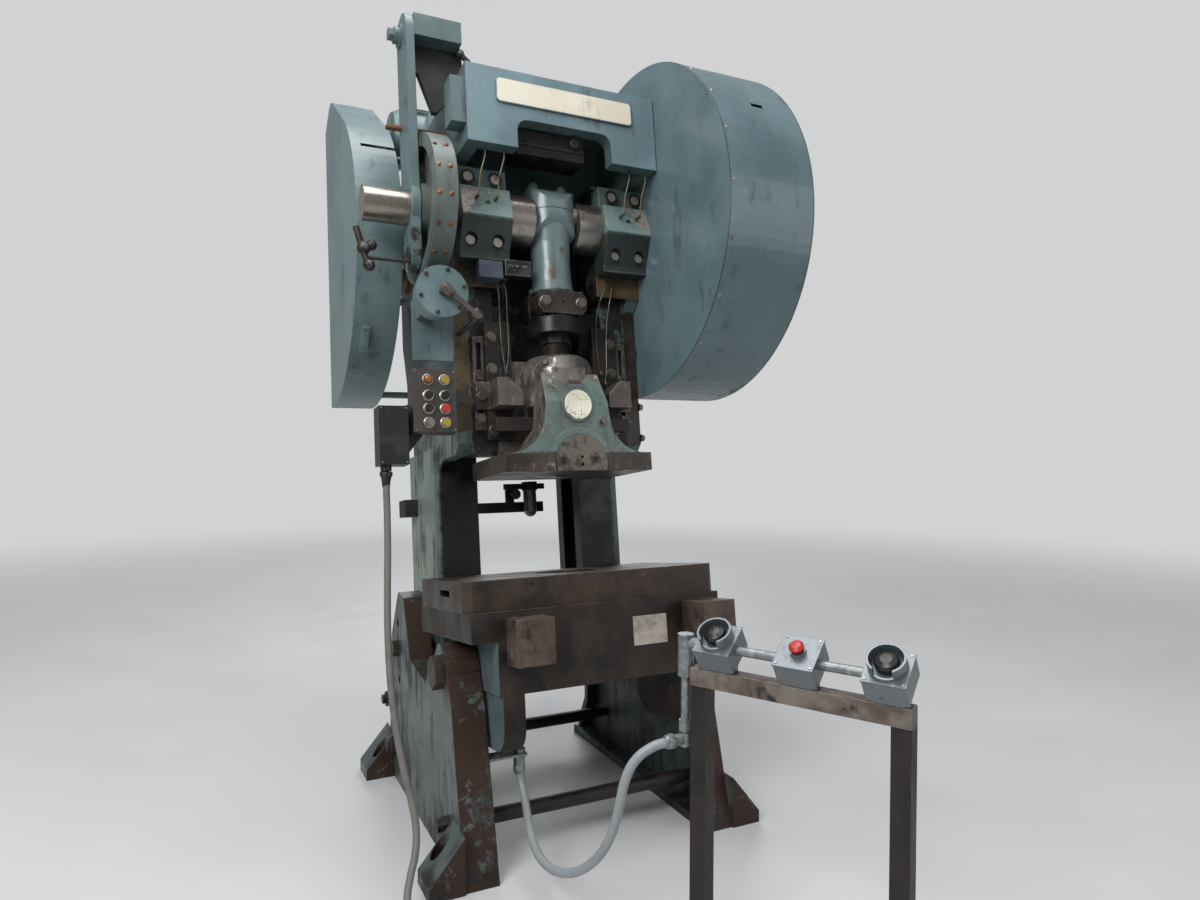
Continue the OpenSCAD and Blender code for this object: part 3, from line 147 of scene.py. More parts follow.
class Kit:
    """Wires the nodes of one material."""

    bevel_samples: int = 4

    def __init__(self, name: str) -> None:
        """Start a material with an empty shader, and its coordinates in the press's frame.

        Args:
            name: the material's name.
        """
        self.material = bpy.data.materials.new(name)
        self.material.use_nodes = True
        self.tree = self.material.node_tree
        self.tree.nodes.clear()
        self.shader = self.add("ShaderNodeBsdfPrincipled")
        self.output = self.add("ShaderNodeOutputMaterial", {"Surface": self.shader.outputs["BSDF"]})
        where = self.add("ShaderNodeTexCoord")
        back = LEAN.inverted()
        turn = {"Rotation": back.to_euler(), "Location": back.to_translation()}
        upright = self.add("ShaderNodeMapping", {"Vector": where.outputs["Object"], **turn})
        self.place = upright.outputs["Vector"]
        self.facing_out = where.outputs["Normal"]
        self.axes = self.split(self.place)
        self.floor_axes = self.split(where.outputs["Object"])

    def add(
        self, kind: str, feeds: Optional[Dict[Union[int, str], Feed]] = None, **settings: object
    ) -> bpy.types.Node:
        """Add a node to this material, with its feeds and settings as wire takes them."""
        return wire(self.tree, kind, feeds or {}, **settings)

    def split(self, where: Socket) -> List[Socket]:
        """The three coordinates of a place."""
        return list(self.add("ShaderNodeSeparateXYZ", {0: where}).outputs)

    def sum(self, what: str, a: Value, b: Value) -> Socket:
        """Two numbers put together by an operation of Blender's Math node."""
        return self.add("ShaderNodeMath", {0: a, 1: b}, operation=what).outputs[0]

    def times(self, a: Value, b: Value) -> Socket:
        """The product of two numbers."""
        return self.sum("MULTIPLY", a, b)

    def plus(self, a: Value, b: Value) -> Socket:
        """The sum of two numbers."""
        return self.sum("ADD", a, b)

    def less(self, a: Value, b: Value) -> Socket:
        """The first number less the second."""
        return self.sum("SUBTRACT", a, b)

    def most(self, a: Value, b: Value) -> Socket:
        """The larger of two numbers."""
        return self.sum("MAXIMUM", a, b)

    def noise(
        self, size: float, detail: float = 4, rough: float = 0.55, stretch: Point = (1, 1, 1)
    ) -> Socket:
        """A cloudy pattern.

        Args:
            size: how far across a blotch is, in millimetres.
            detail: how many finer patterns lie on it.
            rough: how strong those are.
            stretch: how much finer it is along each of the press's axes.

        Returns:
            A number from 0 to 1 with its middle at 0.5.
        """
        where = self.place
        if stretch != (1, 1, 1):
            scaled = self.add("ShaderNodeMapping", {"Scale": stretch, "Vector": where})
            where = scaled.outputs["Vector"]
        feeds = {"Scale": 1000 / size, "Detail": detail, "Roughness": rough, "Vector": where}
        return self.add("ShaderNodeTexNoise", feeds).outputs[0]

    def cells(self, size: float) -> Socket:
        """Crystals about that many millimetres across, each with its own number."""
        crystals = self.add("ShaderNodeTexVoronoi", {"Scale": 1000 / size, "Vector": self.place})
        return self.add("ShaderNodeSeparateColor", {0: crystals.outputs["Color"]}).outputs[0]

    def step(self, value: Value, low: float, high: float) -> Socket:
        """A smooth step.

        Args:
            value: the number that takes the step.
            low: where the step is 0.
            high: where it is 1, which may be the lower of the two.

        Returns:
            A number from 0 to 1.
        """
        start, end = (1.0, 0.0) if low > high else (0.0, 1.0)
        feeds = {
            "Value": value, "From Min": min(low, high), "From Max": max(low, high),
            "To Min": start, "To Max": end,
        }
        return self.add("ShaderNodeMapRange", feeds, interpolation_type="SMOOTHSTEP").outputs[0]

    def blend(self, part: Value, a: Value, b: Value) -> Value:
        """Go from one number to another.

        Args:
            part: how far to go, from 0 to 1.
            a: the number at 0.
            b: the number at 1.

        Returns:
            The blend, or the number itself where both are the same.
        """
        if isinstance(a, (int, float)) and isinstance(b, (int, float)) and a == b:
            return a
        return self.add("ShaderNodeMix", {0: part, 2: a, 3: b}, data_type="FLOAT").outputs[0]

    def tint(self, part: Value, a: Tint, b: Tint) -> Tint:
        """Go from one colour to another as part goes from 0 to 1."""
        return self.add("ShaderNodeMix", {0: part, 6: a, 7: b}, data_type="RGBA").outputs[2]

    def cover(self, under: Layer, over: Layer, part: Value) -> Layer:
        """Lay one coat over another.

        Args:
            under: the coat that shows where part is 0.
            over: the coat that shows where part is 1.
            part: which one shows.

        Returns:
            Both as one coat.
        """
        return Layer(
            self.tint(part, under.colour, over.colour),
            self.blend(part, under.rough, over.rough),
            self.blend(part, under.metal, over.metal),
            self.blend(part, under.height, over.height),
        )

    def rounded_normal(self, radius: float) -> Socket:
        """The surface's normal with its corners rounded by that many millimetres."""
        feeds = {"Radius": radius * MM}
        return self.add("ShaderNodeBevel", feeds, samples=self.bevel_samples).outputs[0]

    def alike(self, a: Socket, b: Feed) -> Socket:
        """How much two directions point the same way, up to 1."""
        feeds = {0: a, 1: b}
        return self.add("ShaderNodeVectorMath", feeds, operation="DOT_PRODUCT").outputs["Value"]

    def edge(self, radius: float) -> Socket:
        """Where the surface turns a corner within that many millimetres."""
        true = self.add("ShaderNodeNewGeometry").outputs["Normal"]
        return self.step(self.alike(self.rounded_normal(radius), true), 0.995, 0.86)

    def towards(self, way: Point, low: float = 0.3, high: float = 0.8) -> Socket:
        """Where the surface faces that way in the press's frame, from low to high likeness."""
        return self.step(self.alike(self.facing_out, LEAN.to_3x3() @ Vector(way)), low, high)

    def inside(
        self, low: Bound, high: Bound, soft: float, ragged: float, floor: bool = False
    ) -> Value:
        """Where a place lies in a box.

        Args:
            low: the box's low corner in millimetres; None leaves a side open.
            high: its high corner, in the same way.
            soft: half the width over which its sides fade.
            ragged: how far its sides wander.
            floor: whether the corners are given in the floor's frame.

        Returns:
            A number that is 1 inside and 0 outside.
        """
        wander = self.noise(max(12.0, 2.2 * ragged), detail=4, rough=0.6)
        part: Value = 1.0
        for axis, a, b in zip(self.floor_axes if floor else self.axes, low, high):
            if a is None and b is None:
                continue
            here = self.plus(axis, self.times(self.less(wander, 0.5), ragged * 2.4 * MM))
            if a is not None:
                part = self.times(part, self.step(here, (a - soft) * MM, (a + soft) * MM))
            if b is not None:
                part = self.times(part, self.step(here, (b + soft) * MM, (b - soft) * MM))
        return part

    def close(self, layer: Layer, rounding: float) -> bpy.types.Material:
        """Send a coat to the shader, with its height as bumps and its corners eased.

        Args:
            layer: the coat.
            rounding: the radius that sharp corners catch the light with, in millimetres.

        Returns:
            The finished material.
        """
        sockets = self.shader.inputs
        feed(self.tree, sockets["Base Color"], layer.colour)
        feed(self.tree, sockets["Roughness"], layer.rough)
        feed(self.tree, sockets["Metallic"], layer.metal)
        normal = {"Normal": self.rounded_normal(rounding)} if rounding > 0 else {}
        if isinstance(layer.height, bpy.types.NodeSocket):
            feeds = {"Distance": MM, "Height": layer.height, **normal}
            normal = {"Normal": self.add("ShaderNodeBump", feeds).outputs[0]}
        for name, socket in normal.items():
            feed(self.tree, sockets[name], socket)
        return self.material


@dataclass(frozen=True)
class Finish:
    """What every finish shares."""

    name: str
    slot: str

    def lay(self, kit: Kit) -> Layer:
        """Lay this finish as one coat."""
        raise NotImplementedError


@dataclass(frozen=True)
class OldEnamel(Finish):
    """Old enamel on iron, faded, grimy, and chipped down to primer and bare metal."""

    coat: str = "526668"
    faded: str = "6a7d7f"
    under: str = "332822"
    bare: str = "7d746d"
    soil: str = "1d1b18"
    dirt: float = 0.35
    chips: float = 0.3
    edges: float = 0.7
    rough: float = 0.38
    grain: float = 0.12
    flake: float = 14

    def lay(self, kit: Kit) -> Layer:
        """Mix fade, runs of grime and chips over a cast grain.

        Args:
            kit: the material's nodes.

        Returns:
            The coat.
        """
        cloud = kit.step(kit.noise(380, detail=5, rough=0.6), 0.34, 0.66)
        colour = kit.tint(cloud, swatch(self.coat), swatch(self.faded))
        runs = kit.noise(46, detail=5, rough=0.62, stretch=(1, 1, 0.16))
        patches = kit.noise(210, detail=4, rough=0.6)
        first, last = 1.18 - 0.3 * self.dirt, 1.42 - 0.2 * self.dirt
        soil = kit.step(kit.plus(runs, patches), first, last)
        colour = kit.tint(kit.times(soil, 0.35 + 0.6 * self.dirt), colour, swatch(self.soil))
        fine = kit.noise(self.flake, detail=9, rough=0.76)
        spread = kit.noise(170, detail=3, rough=0.6)
        worn = kit.plus(kit.times(fine, 0.55), kit.times(spread, 0.45))
        level = 0.66 - 0.14 * self.chips
        chip = kit.step(worn, level, level + 0.03)
        deep = kit.step(worn, level + 0.02, level + 0.06)
        patchy = kit.noise(24, detail=5, rough=0.65)
        broken = kit.step(patchy, 0.62 - 0.2 * self.edges, 0.68 - 0.2 * self.edges)
        rubbed = kit.times(kit.times(kit.edge(4.5), broken), min(1.0, self.edges))
        chip = kit.most(chip, rubbed)
        deep = kit.most(deep, kit.times(rubbed, 0.75))
        metal = kit.tint(deep, swatch(self.under), swatch(self.bare))
        sand = kit.times(kit.noise(3.2, detail=3, rough=0.6), self.grain)
        skin = kit.plus(sand, kit.times(kit.noise(26, detail=3), 2.5 * self.grain))
        return Layer(
            kit.tint(chip, colour, metal),
            kit.blend(chip, kit.blend(soil, self.rough, 0.62), 0.55),
            kit.times(deep, 0.55),
            kit.less(skin, kit.times(chip, 0.22)),
        )


@dataclass(frozen=True)
class OiledIron(Finish):
    """Bare or long unpainted iron, brown with old oil, rubbed bright here and there."""

    dark: str = "2c2520"
    brown: str = "574438"
    rubbed: str = "8a7566"
    shine: float = 0.4
    rough: float = 0.42
    grain: float = 0.1
    paint: Optional[str] = None
    paint_part: float = 0.3

    def lay(self, kit: Kit) -> Layer:
        """Mix blotches of oil, scratches and what is left of the paint.

        Args:
            kit: the material's nodes.

        Returns:
            The coat.
        """
        blot = kit.step(kit.noise(130, detail=6, rough=0.66), 0.36, 0.62)
        colour = kit.tint(blot, swatch(self.dark), swatch(self.brown))
        scratches = kit.noise(34, detail=6, rough=0.7, stretch=(1, 1, 0.45))
        scuff = kit.step(scratches, 0.7 - 0.18 * self.shine, 0.78 - 0.14 * self.shine)
        edge = kit.times(kit.edge(4), kit.step(kit.noise(30, detail=4), 0.4, 0.55))
        bright = kit.most(kit.times(scuff, 0.8), edge)
        colour = kit.tint(bright, colour, swatch(self.rubbed))
        rough = kit.blend(blot, self.rough, min(1.0, self.rough + 0.22))
        metal: Value = kit.blend(bright, 0.25, 0.75)
        if self.paint is not None:
            kept = kit.noise(70, detail=10, rough=0.78, stretch=(1, 1, 0.6))
            level = 0.66 - 0.28 * self.paint_part
            left = kit.step(kept, level, level + 0.06)
            colour = kit.tint(left, colour, swatch(self.paint))
            metal = kit.blend(left, metal, 0.0)
        sand = kit.times(kit.noise(3.5, detail=3), self.grain)
        height = kit.plus(sand, kit.times(kit.noise(30, detail=4), 2 * self.grain))
        return Layer(colour, rough, metal, height)


@dataclass(frozen=True)
class CutSteel(Finish):
    """Steel left bright from the lathe or mill, with tool lines, stains and a little rust."""

    bright: str = "b4aea6"
    dull: str = "7b736b"
    rust: str = "6a452e"
    oil: str = "3a312a"
    stains: float = 0.4
    rough: float = 0.26
    lines: Point = (30, 1, 1)

    def lay(self, kit: Kit) -> Layer:
        """Mix tool lines, oil stains and rust spots.

        Args:
            kit: the material's nodes.

        Returns:
            The coat.
        """
        tool = kit.noise(45, detail=3, rough=0.6, stretch=self.lines)
        clouds = kit.noise(70, detail=6, rough=0.65)
        blot = kit.step(clouds, 0.6 - 0.22 * self.stains, 0.72 - 0.1 * self.stains)
        colour = kit.tint(tool, swatch(self.dull), swatch(self.bright))
        colour = kit.tint(kit.times(blot, 0.8), colour, swatch(self.oil))
        level = 0.72 - 0.12 * self.stains
        spots = kit.step(kit.noise(16, detail=6, rough=0.7), level, level + 0.04)
        colour = kit.tint(kit.times(spots, 0.7), colour, swatch(self.rust))
        rough = kit.blend(blot, kit.blend(tool, self.rough, self.rough + 0.14), 0.55)
        return Layer(colour, rough, kit.blend(spots, 0.92, 0.3), kit.times(tool, 0.012))


@dataclass(frozen=True)
class Moulded(Finish):
    """Plastic, rubber or baked paint in one colour, with dust and handling marks."""

    body: str = "202020"
    dust: str = "6c675f"
    dusty: float = 0.35
    rough: float = 0.42
    grain: float = 0.03

    def lay(self, kit: Kit) -> Layer:
        """Mix dust, finger marks and a fine skin.

        Args:
            kit: the material's nodes.

        Returns:
            The coat.
        """
        film = kit.times(kit.step(kit.noise(60, detail=5, rough=0.62), 0.4, 0.75), self.dusty)
        marks = kit.step(kit.noise(9, detail=5, rough=0.7), 0.66, 0.72)
        grime = kit.most(film, kit.times(marks, 0.4 * self.dusty))
        return Layer(
            kit.tint(grime, swatch(self.body), swatch(self.dust)),
            kit.blend(film, self.rough, min(1.0, self.rough + 0.3)),
            0.0,
            kit.times(kit.noise(1.6, detail=2), self.grain),
        )


@dataclass(frozen=True)
class Zinc(Finish):
    """Galvanised or cast zinc skin: grey crystals, white bloom and grime."""

    light: str = "969a9a"
    deep: str = "70767a"
    grime: str = "5a534b"
    dirt: float = 0.4
    crystal: float = 14

    def lay(self, kit: Kit) -> Layer:
        """Mix crystals with dirt.

        Args:
            kit: the material's nodes.

        Returns:
            The coat.
        """
        colour = kit.tint(kit.cells(self.crystal), swatch(self.deep), swatch(self.light))
        bloom = kit.step(kit.noise(40, detail=5, rough=0.65), 0.66 - 0.2 * self.dirt, 0.8)
        colour = kit.tint(kit.times(bloom, 0.8), colour, swatch(self.grime))
        skin = kit.times(kit.noise(4, detail=3), 0.06)
        return Layer(colour, kit.blend(bloom, 0.4, 0.6), 0.6, skin)


@dataclass(frozen=True)
class Zone:
    """A part of a piece, in the press's own frame, that wears another finish."""

    finish: Finish
    low: Bound = OPEN
    high: Bound = OPEN
    soft: float = 10
    ragged: float = 16
    part: float = 1.0
    facing: Optional[Point] = None
    broken: float = 0.0
    floor: bool = False

    def mask(self, kit: Kit) -> Value:
        """How much of this zone's finish shows.

        Args:
            kit: the material's nodes.

        Returns:
            A number from 0 to 1 at each place.
        """
        part = kit.inside(self.low, self.high, self.soft, self.ragged, self.floor)
        if self.facing is not None:
            part = kit.times(part, kit.towards(self.facing))
        if self.broken:
            patchy = kit.noise(75, detail=6, rough=0.66)
            level = 0.5 * self.broken
            part = kit.times(part, kit.step(patchy, 0.25 + level, 0.4 + level))
        return kit.times(part, self.part)


MADE: Dict[Tuple[Finish, Tuple[Zone, ...], float], bpy.types.Material] = {}


def material(
    finish: Finish, zones: Tuple[Zone, ...] = (), rounding: float = 2.5
) -> bpy.types.Material:
    """Make a finish with its zones once, and hand out the same material after that.

    Args:
        finish: the finish that shows wherever no zone does.
        zones: the zones, each over the ones before it.
        rounding: the radius that corners catch the light with, in millimetres.

    Returns:
        The material.
    """
    key = (finish, zones, rounding)
    if key not in MADE:
        kit = Kit(finish.name if not zones else f"{finish.name}_zoned_{len(MADE)}")
        layer = finish.lay(kit)
        for zone in zones:
            layer = kit.cover(layer, zone.finish.lay(kit), zone.mask(kit))
        MADE[key] = kit.close(layer, rounding)
    return MADE[key]


GREEN = OldEnamel("press_green_enamel", "press_green")
GUARD_GREEN = OldEnamel(
    "guard_enamel", "press_green", coat="576b6e", faded="67797a",
    dirt=0.3, chips=0.02, edges=0.35, rough=0.34, grain=0.03,
)
SHADE_GREEN = OldEnamel(
    "casting_enamel", "press_green", coat="465758", faded="5c6e6f",
    dirt=0.5, chips=0.28, edges=0.8, grain=0.16,
)
CAP_GREEN = OldEnamel(
    "cap_enamel", "press_green", coat="425353", faded="566868", under="6f665e", bare="a8a098",
    dirt=0.5, chips=0.3, edges=1.0, grain=0.14,
)
# Painted light: a lighter copy of the frame's enamel, laid on the crown's front and upward-sloping
# faces where the lamps fall on them.
LIT_CROWN_GREEN = OldEnamel(
    "crown_lit_enamel", "press_green", coat="5a6f74", faded="70858c",
    dirt=0.35, chips=0.16, edges=0.7, grain=0.12,
)
# Painted shade: a darker copy of the guard enamel for the gear guard, standing in for the shade that
# lies on it.
SHADED_GEAR_GREEN = OldEnamel(
    "gear_guard_shaded_enamel", "press_green", coat="4d6267", faded="5d7176",
    dirt=0.35, chips=0.1, edges=0.5, rough=0.26, grain=0.02,
)
PALE_GREEN = OldEnamel(
    "oil_washed_enamel", "press_green", coat="626f68", faded="7d887d", soil="2a261f",
    dirt=0.85, chips=0.3, edges=0.8, grain=0.2,
)
LEG_GREEN = OldEnamel(
    "leg_enamel", "press_green", coat="3a4645", faded="4b5755", under="2d211b", bare="46362d",
    dirt=0.9, chips=0.6, edges=1.0, grain=0.2, flake=22,
)
LEG_FRONT = OldEnamel(
    "leg_front_enamel", "press_green", coat="434f4c", faded="56605c", under="271c17",
    bare="3d2d26", dirt=0.9, chips=1.75, edges=1.0, grain=0.25, flake=30,
)
CREAM = OldEnamel(
    "cream_enamel", "press_green", coat="cdc6b2", faded="d8d2c2", under="7a3a30", bare="4d6360",
    soil="6b5d4a", dirt=0.15, chips=0.25, edges=0.4, grain=0.05,
)
CAP_FACE = OldEnamel(
    "cap_face_enamel", "press_green", coat="566c6b", faded="728885", bare="a39b95",
    under="8a7e77", dirt=0.3, chips=0.85, edges=1.0, grain=0.08,
)
INJECTOR = OldEnamel(
    "injector_enamel", "black_paint", coat="151617", faded="232425", under="8f887f",
    bare="c9c2b8", dirt=0.2, chips=0.45, edges=1.0, rough=0.3, flake=8,
)
ROD_GREEN = OldEnamel(
    "rod_enamel", "press_green", coat="546463", faded="69797a", under="57463a", bare="7b6d62",
    dirt=0.3, chips=0.3, edges=0.5, rough=0.24, grain=0.1,
)
SKIRT_GREEN = OldEnamel(
    "skirt_enamel", "press_green", coat="50635f", faded="64766f", under="453a33", bare="7d746b",
    dirt=0.75, chips=0.85, edges=0.9, rough=0.32, grain=0.14,
)
MEDALLION = OldEnamel(
    "medallion_enamel", "press_green", coat="d8d3c0", faded="e4dfcf", under="3a3a34",
    bare="4f5f5b", soil="4b4438", dirt=0.3, chips=0.75, edges=0.5, grain=0.06, flake=7,
)
BAND = OldEnamel(
    "band_paint", "band_rust", coat="47524f", faded="5b6662", under="4d3a2e", bare="7a6656",
    dirt=0.6, chips=0.55, edges=0.9, rough=0.45, flake=26,
)
CLUTCH = OldEnamel(
    "clutch_enamel", "machine_steel", coat="5c6664", faded="6f7977", dirt=0.5, chips=0.2
)
FLYWHEEL_GREEN = OldEnamel(
    "flywheel_enamel", "press_green", coat="4c5f5c", faded="5e726e", dirt=0.6, chips=0.3
)
BLUE_GREY = OldEnamel(
    "blue_grey_enamel", "machine_steel", coat="363e4a", faded="434b57",
    dirt=0.3, chips=0.1, edges=0.5, grain=0.04,
)
PANEL = OldEnamel(
    "panel_enamel", "press_green", coat="34302d", faded="413c38",
    dirt=0.3, chips=0.12, edges=0.5, rough=0.45, grain=0.04,
)
DARK_IRON = OiledIron(
    "dark_oily_iron", "dark_iron", dark="141211", brown="2a2420", rubbed="5d554e", shine=0.35
)
BLACK_OIL = OiledIron(
    "black_oily_iron", "dark_iron", dark="0e0e0d", brown="1d1a18", rubbed="4a443f",
    shine=0.15, rough=0.3,
)
BROWN_IRON = OiledIron(
    "brown_oily_iron", "brown_iron", dark="1f1812", brown="3b2e25", rubbed="6f6155",
    shine=0.45, rough=0.34,
)
BED_IRON = OiledIron(
    "bed_iron", "brown_iron", dark="17110d", brown="31261e", rubbed="5f5144", shine=0.35,
    paint="43534f", paint_part=0.16,
)
PINK_IRON = OiledIron(
    "worn_block_iron", "brown_iron", dark="382d27", brown="56483f", rubbed="84766b",
    shine=0.45, rough=0.42,
)
OCHRE = OiledIron(
    "ochre_stained_iron", "brown_iron", dark="332a1d", brown="5e4f35", rubbed="7a6b50",
    shine=0.2, rough=0.45,
)
RAM_STEEL = OiledIron(
    "rubbed_ram_iron", "brown_iron", dark="433e3a", brown="6d6660", rubbed="b8b0a8",
    shine=0.85, rough=0.2,
)
RUSTY_STRAP = OiledIron(
    "rusty_strap", "band_rust", dark="4d3526", brown="7a5539", rubbed="94735a",
    shine=0.3, rough=0.6,
)
OIL_RUN = OiledIron(
    "oil_run", "brown_iron", dark="4c3a2b", brown="6e5540", rubbed="7d6a58", shine=0.2
)
CLAMP_CAP = OiledIron(
    "clamp_cap_iron", "dark_iron", dark="1c1815", brown="383029", rubbed="857a70",
    shine=0.55, rough=0.3,
)
CLAMP_IRON = OiledIron(
    "clamp_iron", "brown_iron", dark="211a16", brown="3b2e26", rubbed="857a70", shine=0.5
)
STOP_BAR = OiledIron(
    "stop_bar_steel", "machine_steel", dark="352f2b", brown="554d46", rubbed="a49b92",
    shine=0.45, rough=0.3,
)
STOP_BLOCK = OiledIron(
    "stop_block_steel", "machine_steel", dark="38322e", brown="5a524c", rubbed="aea59d",
    shine=0.5, rough=0.3,
)
POST = OiledIron(
    "stand_post_steel", "dark_steel", dark="191615", brown="2c2623", rubbed="5d524a",
    shine=0.3, rough=0.45,
)
RAIL = OiledIron(
    "worn_rail", "dark_steel", dark="54493f", brown="7a7168", rubbed="9c948b",
    shine=0.5, rough=0.45,
)
BRIGHT = CutSteel("bright_steel", "bright_steel")
SHAFT = CutSteel(
    "turned_shaft", "bright_steel", bright="b0a89e", dull="7d756c", stains=0.16, rough=0.18,
    lines=(24, 0.3, 0.3),
)
MACHINE = CutSteel(
    "machine_steel", "machine_steel", bright="827b74", dull="524c46", stains=0.6, rough=0.3
)
CAP_BOLT = CutSteel(
    "cap_bolt_steel", "machine_steel", bright="c6c0b8", dull="8f877e", stains=0.4
)
BRONZE = CutSteel(
    "bearing_bronze", "bronze", bright="b08a4c", dull="7d6033", rust="4b3a20",
    stains=0.5, rough=0.34,
)
TUBE = CutSteel(
    "oil_tube_brass", "copper", bright="8b7d66", dull="5b5141", rust="3b3a2a",
    stains=0.5, rough=0.34,
)
COPPER = CutSteel(
    "copper", "copper", bright="a4694a", dull="764832", rust="5a3324", stains=0.5, rough=0.32
)
BLACK_PAINT = Moulded(
    "black_paint", "black_paint", body="131516", dust="45433e", dusty=0.3, rough=0.4
)
BLACK_PLASTIC = Moulded(
    "black_plastic", "button_black", body="131414", dust="55524d", dusty=0.2, rough=0.35
)
RED_PLASTIC = Moulded(
    "red_plastic", "button_red", body="a8261c", dust="7c5146", dusty=0.18, rough=0.35
)
YELLOW_PLASTIC = Moulded(
    "yellow_plastic", "button_yellow", body="94802f", dust="5f5638", dusty=0.25, rough=0.4
)
AMBER = Moulded(
    "amber_lens", "button_yellow", body="8a5212", dust="5d4c33", dusty=0.2, rough=0.15, grain=0.0
)
BARE_PLATE = Moulded(
    "bare_plate", "bright_steel", body="a7a096", dust="5d5047", dusty=0.7, rough=0.5
)
RUBBER = Moulded("belt_rubber", "belt", body="121212", dust="3a3835", dusty=0.35, rough=0.6)
GREY_CABLE = Moulded(
    "grey_cable_sheath", "grey_cord", body="66655f", dust="47433d", dusty=0.5, rough=0.5
)
GREY_CONDUIT = Moulded(
    "grey_conduit_sheath", "galvanised", body="8b9193", dust="67676a", dusty=0.35, rough=0.4
)
ZINC = Zinc("galvanised_zinc", "galvanised")
GREY_BOX = Zinc(
    "cast_station_box", "galvanised", light="7c8286", deep="6c7377", dirt=0.5, crystal=2.4
)


class Bench:
    """Makes pieces in millimetres with Blender's own modelling operators."""

    @staticmethod
    def clear() -> None:
        """Leave nothing selected."""
        if bpy.context.mode != "OBJECT":
            bpy.ops.object.mode_set(mode="OBJECT")
        bpy.ops.object.select_all(action="DESELECT")

    @staticmethod
    def only(piece: Piece) -> None:
        """Select one piece and make it the active one.

        Args:
            piece: the piece.
        """
        Bench.clear()
        piece.select_set(True)
        bpy.context.view_layer.objects.active = piece

    @staticmethod
    def named(name: str) -> Piece:
        """Give the active object and its mesh their name.

        Args:
            name: the name.

        Returns:
            The active object.
        """
        piece = bpy.context.view_layer.objects.active
        piece.name = name
        piece.data.name = name
        return piece

    @staticmethod
    def fix(piece: Piece, matrix: Matrix) -> Piece:
        """Move a piece and leave its object at the origin.

        Args:
            piece: the piece.
            matrix: the move.

        Returns:
            The same piece.
        """
        Bench.only(piece)
        piece.matrix_world = matrix @ piece.matrix_world
        bpy.ops.object.transform_apply(location=True, rotation=True, scale=True)
        return piece

    @staticmethod
    def ease(piece: Piece, width: float, steps: int = 2, angle: float = 40) -> None:
        """Round a piece's sharp edges.

        Args:
            piece: the piece.
            width: how wide the rounding is.
            steps: how many faces it has.
            angle: edges sharper than this, in degrees, are rounded.
        """
        Bench.only(piece)
        bevel = piece.modifiers.new("eased", "BEVEL")
        bevel.width = width
        bevel.segments = steps
        bevel.limit_method = "ANGLE"
        bevel.angle_limit = math.radians(angle)
        bpy.ops.object.modifier_apply(modifier=bevel.name)

    @staticmethod
    def block(name: str, low: Point, high: Point, ease: float = 1.5, steps: int = 2) -> Piece:
        """A block with its edges eased.

        Args:
            name: the piece's name.
            low: its low corner.
            high: its high corner.
            ease: how wide the rounding of its edges is.
            steps: how many faces the rounding has.

        Returns:
            The piece.
        """
        Bench.clear()
        bpy.ops.mesh.primitive_cube_add(size=1)
        piece = Bench.named(name)
        middle = [(a + b) / 2 for a, b in zip(low, high)]
        spread = Matrix.Diagonal((*[b - a for a, b in zip(low, high)], 1))
        Bench.fix(piece, Matrix.Translation(middle) @ spread)
        Bench.ease(piece, ease, steps)
        return piece

    @staticmethod
    def aim(start: Point, way: Point) -> Matrix:
        """The move that stands a piece made along Z at a place, along a direction."""
        turn = Vector(way).to_track_quat("Z", "Y").to_matrix().to_4x4()
        return Matrix.Translation(start) @ turn

    @staticmethod
    def turned(
        name: str, profile: Sequence[Flat], start: Point = HERE, way: Point = FORWARD,
        steps: int = 32,
    ) -> Piece:
        """A turned piece, spun from its outline.

        Args:
            name: the piece's name.
            profile: radius and height of each point of the outline.
            start: where height 0 lies.
            way: the direction in which the height grows.
            steps: how many sides the round has.

        Returns:
            The piece, in millimetres.
        """
        Bench.clear()
        bpy.ops.mesh.primitive_plane_add(size=1)
        piece = Bench.named(name)
        bpy.ops.object.mode_set(mode="EDIT")
        bpy.ops.mesh.select_mode(type="VERT")
        bpy.ops.mesh.select_all(action="SELECT")
        bpy.ops.mesh.merge(type="CENTER")
        bpy.ops.transform.translate(value=(profile[0][0], 0, profile[0][1]))
        for (r0, z0), (r1, z1) in zip(profile, profile[1:]):
            move = {"value": (r1 - r0, 0, z1 - z0)}
            bpy.ops.mesh.extrude_region_move(TRANSFORM_OT_translate=move)
        bpy.ops.mesh.select_all(action="SELECT")
        bpy.ops.mesh.spin(steps=steps, angle=2 * math.pi, center=(0, 0, 0), axis=(0, 0, 1))
        bpy.ops.mesh.select_all(action="SELECT")
        bpy.ops.mesh.remove_doubles(threshold=0.001)
        bpy.ops.mesh.normals_make_consistent(inside=False)
        bpy.ops.object.mode_set(mode="OBJECT")
        return Bench.fix(piece, Bench.aim(start, way))

    @staticmethod
    def nut(name: str, start: Point, way: Point, across: float, high: float) -> Piece:
        """A hexagon with its top rounded off, on a thin washer face.

        Args:
            name: the piece's name.
            start: the middle of its seat.
            way: the direction it stands in.
            across: its width over the corners.
            high: its height.

        Returns:
            The piece.
        """
        Bench.clear()
        bpy.ops.mesh.primitive_cylinder_add(
            vertices=6, radius=across / 2, depth=high, location=(0, 0, high / 2)
        )
        piece = Bench.named(name)
        Bench.fix(piece, Matrix.Identity(4))
        bpy.ops.object.mode_set(mode="EDIT")
        Bench.pick_faces(piece, lambda c, n: n.z > 0.9)
        bpy.ops.mesh.inset(thickness=across * 0.07, depth=high * 0.12)
        bpy.ops.mesh.inset(thickness=across * 0.16, depth=-high * 0.05)
        bpy.ops.object.mode_set(mode="OBJECT")
        return Bench.fix(piece, Bench.aim(start, way))

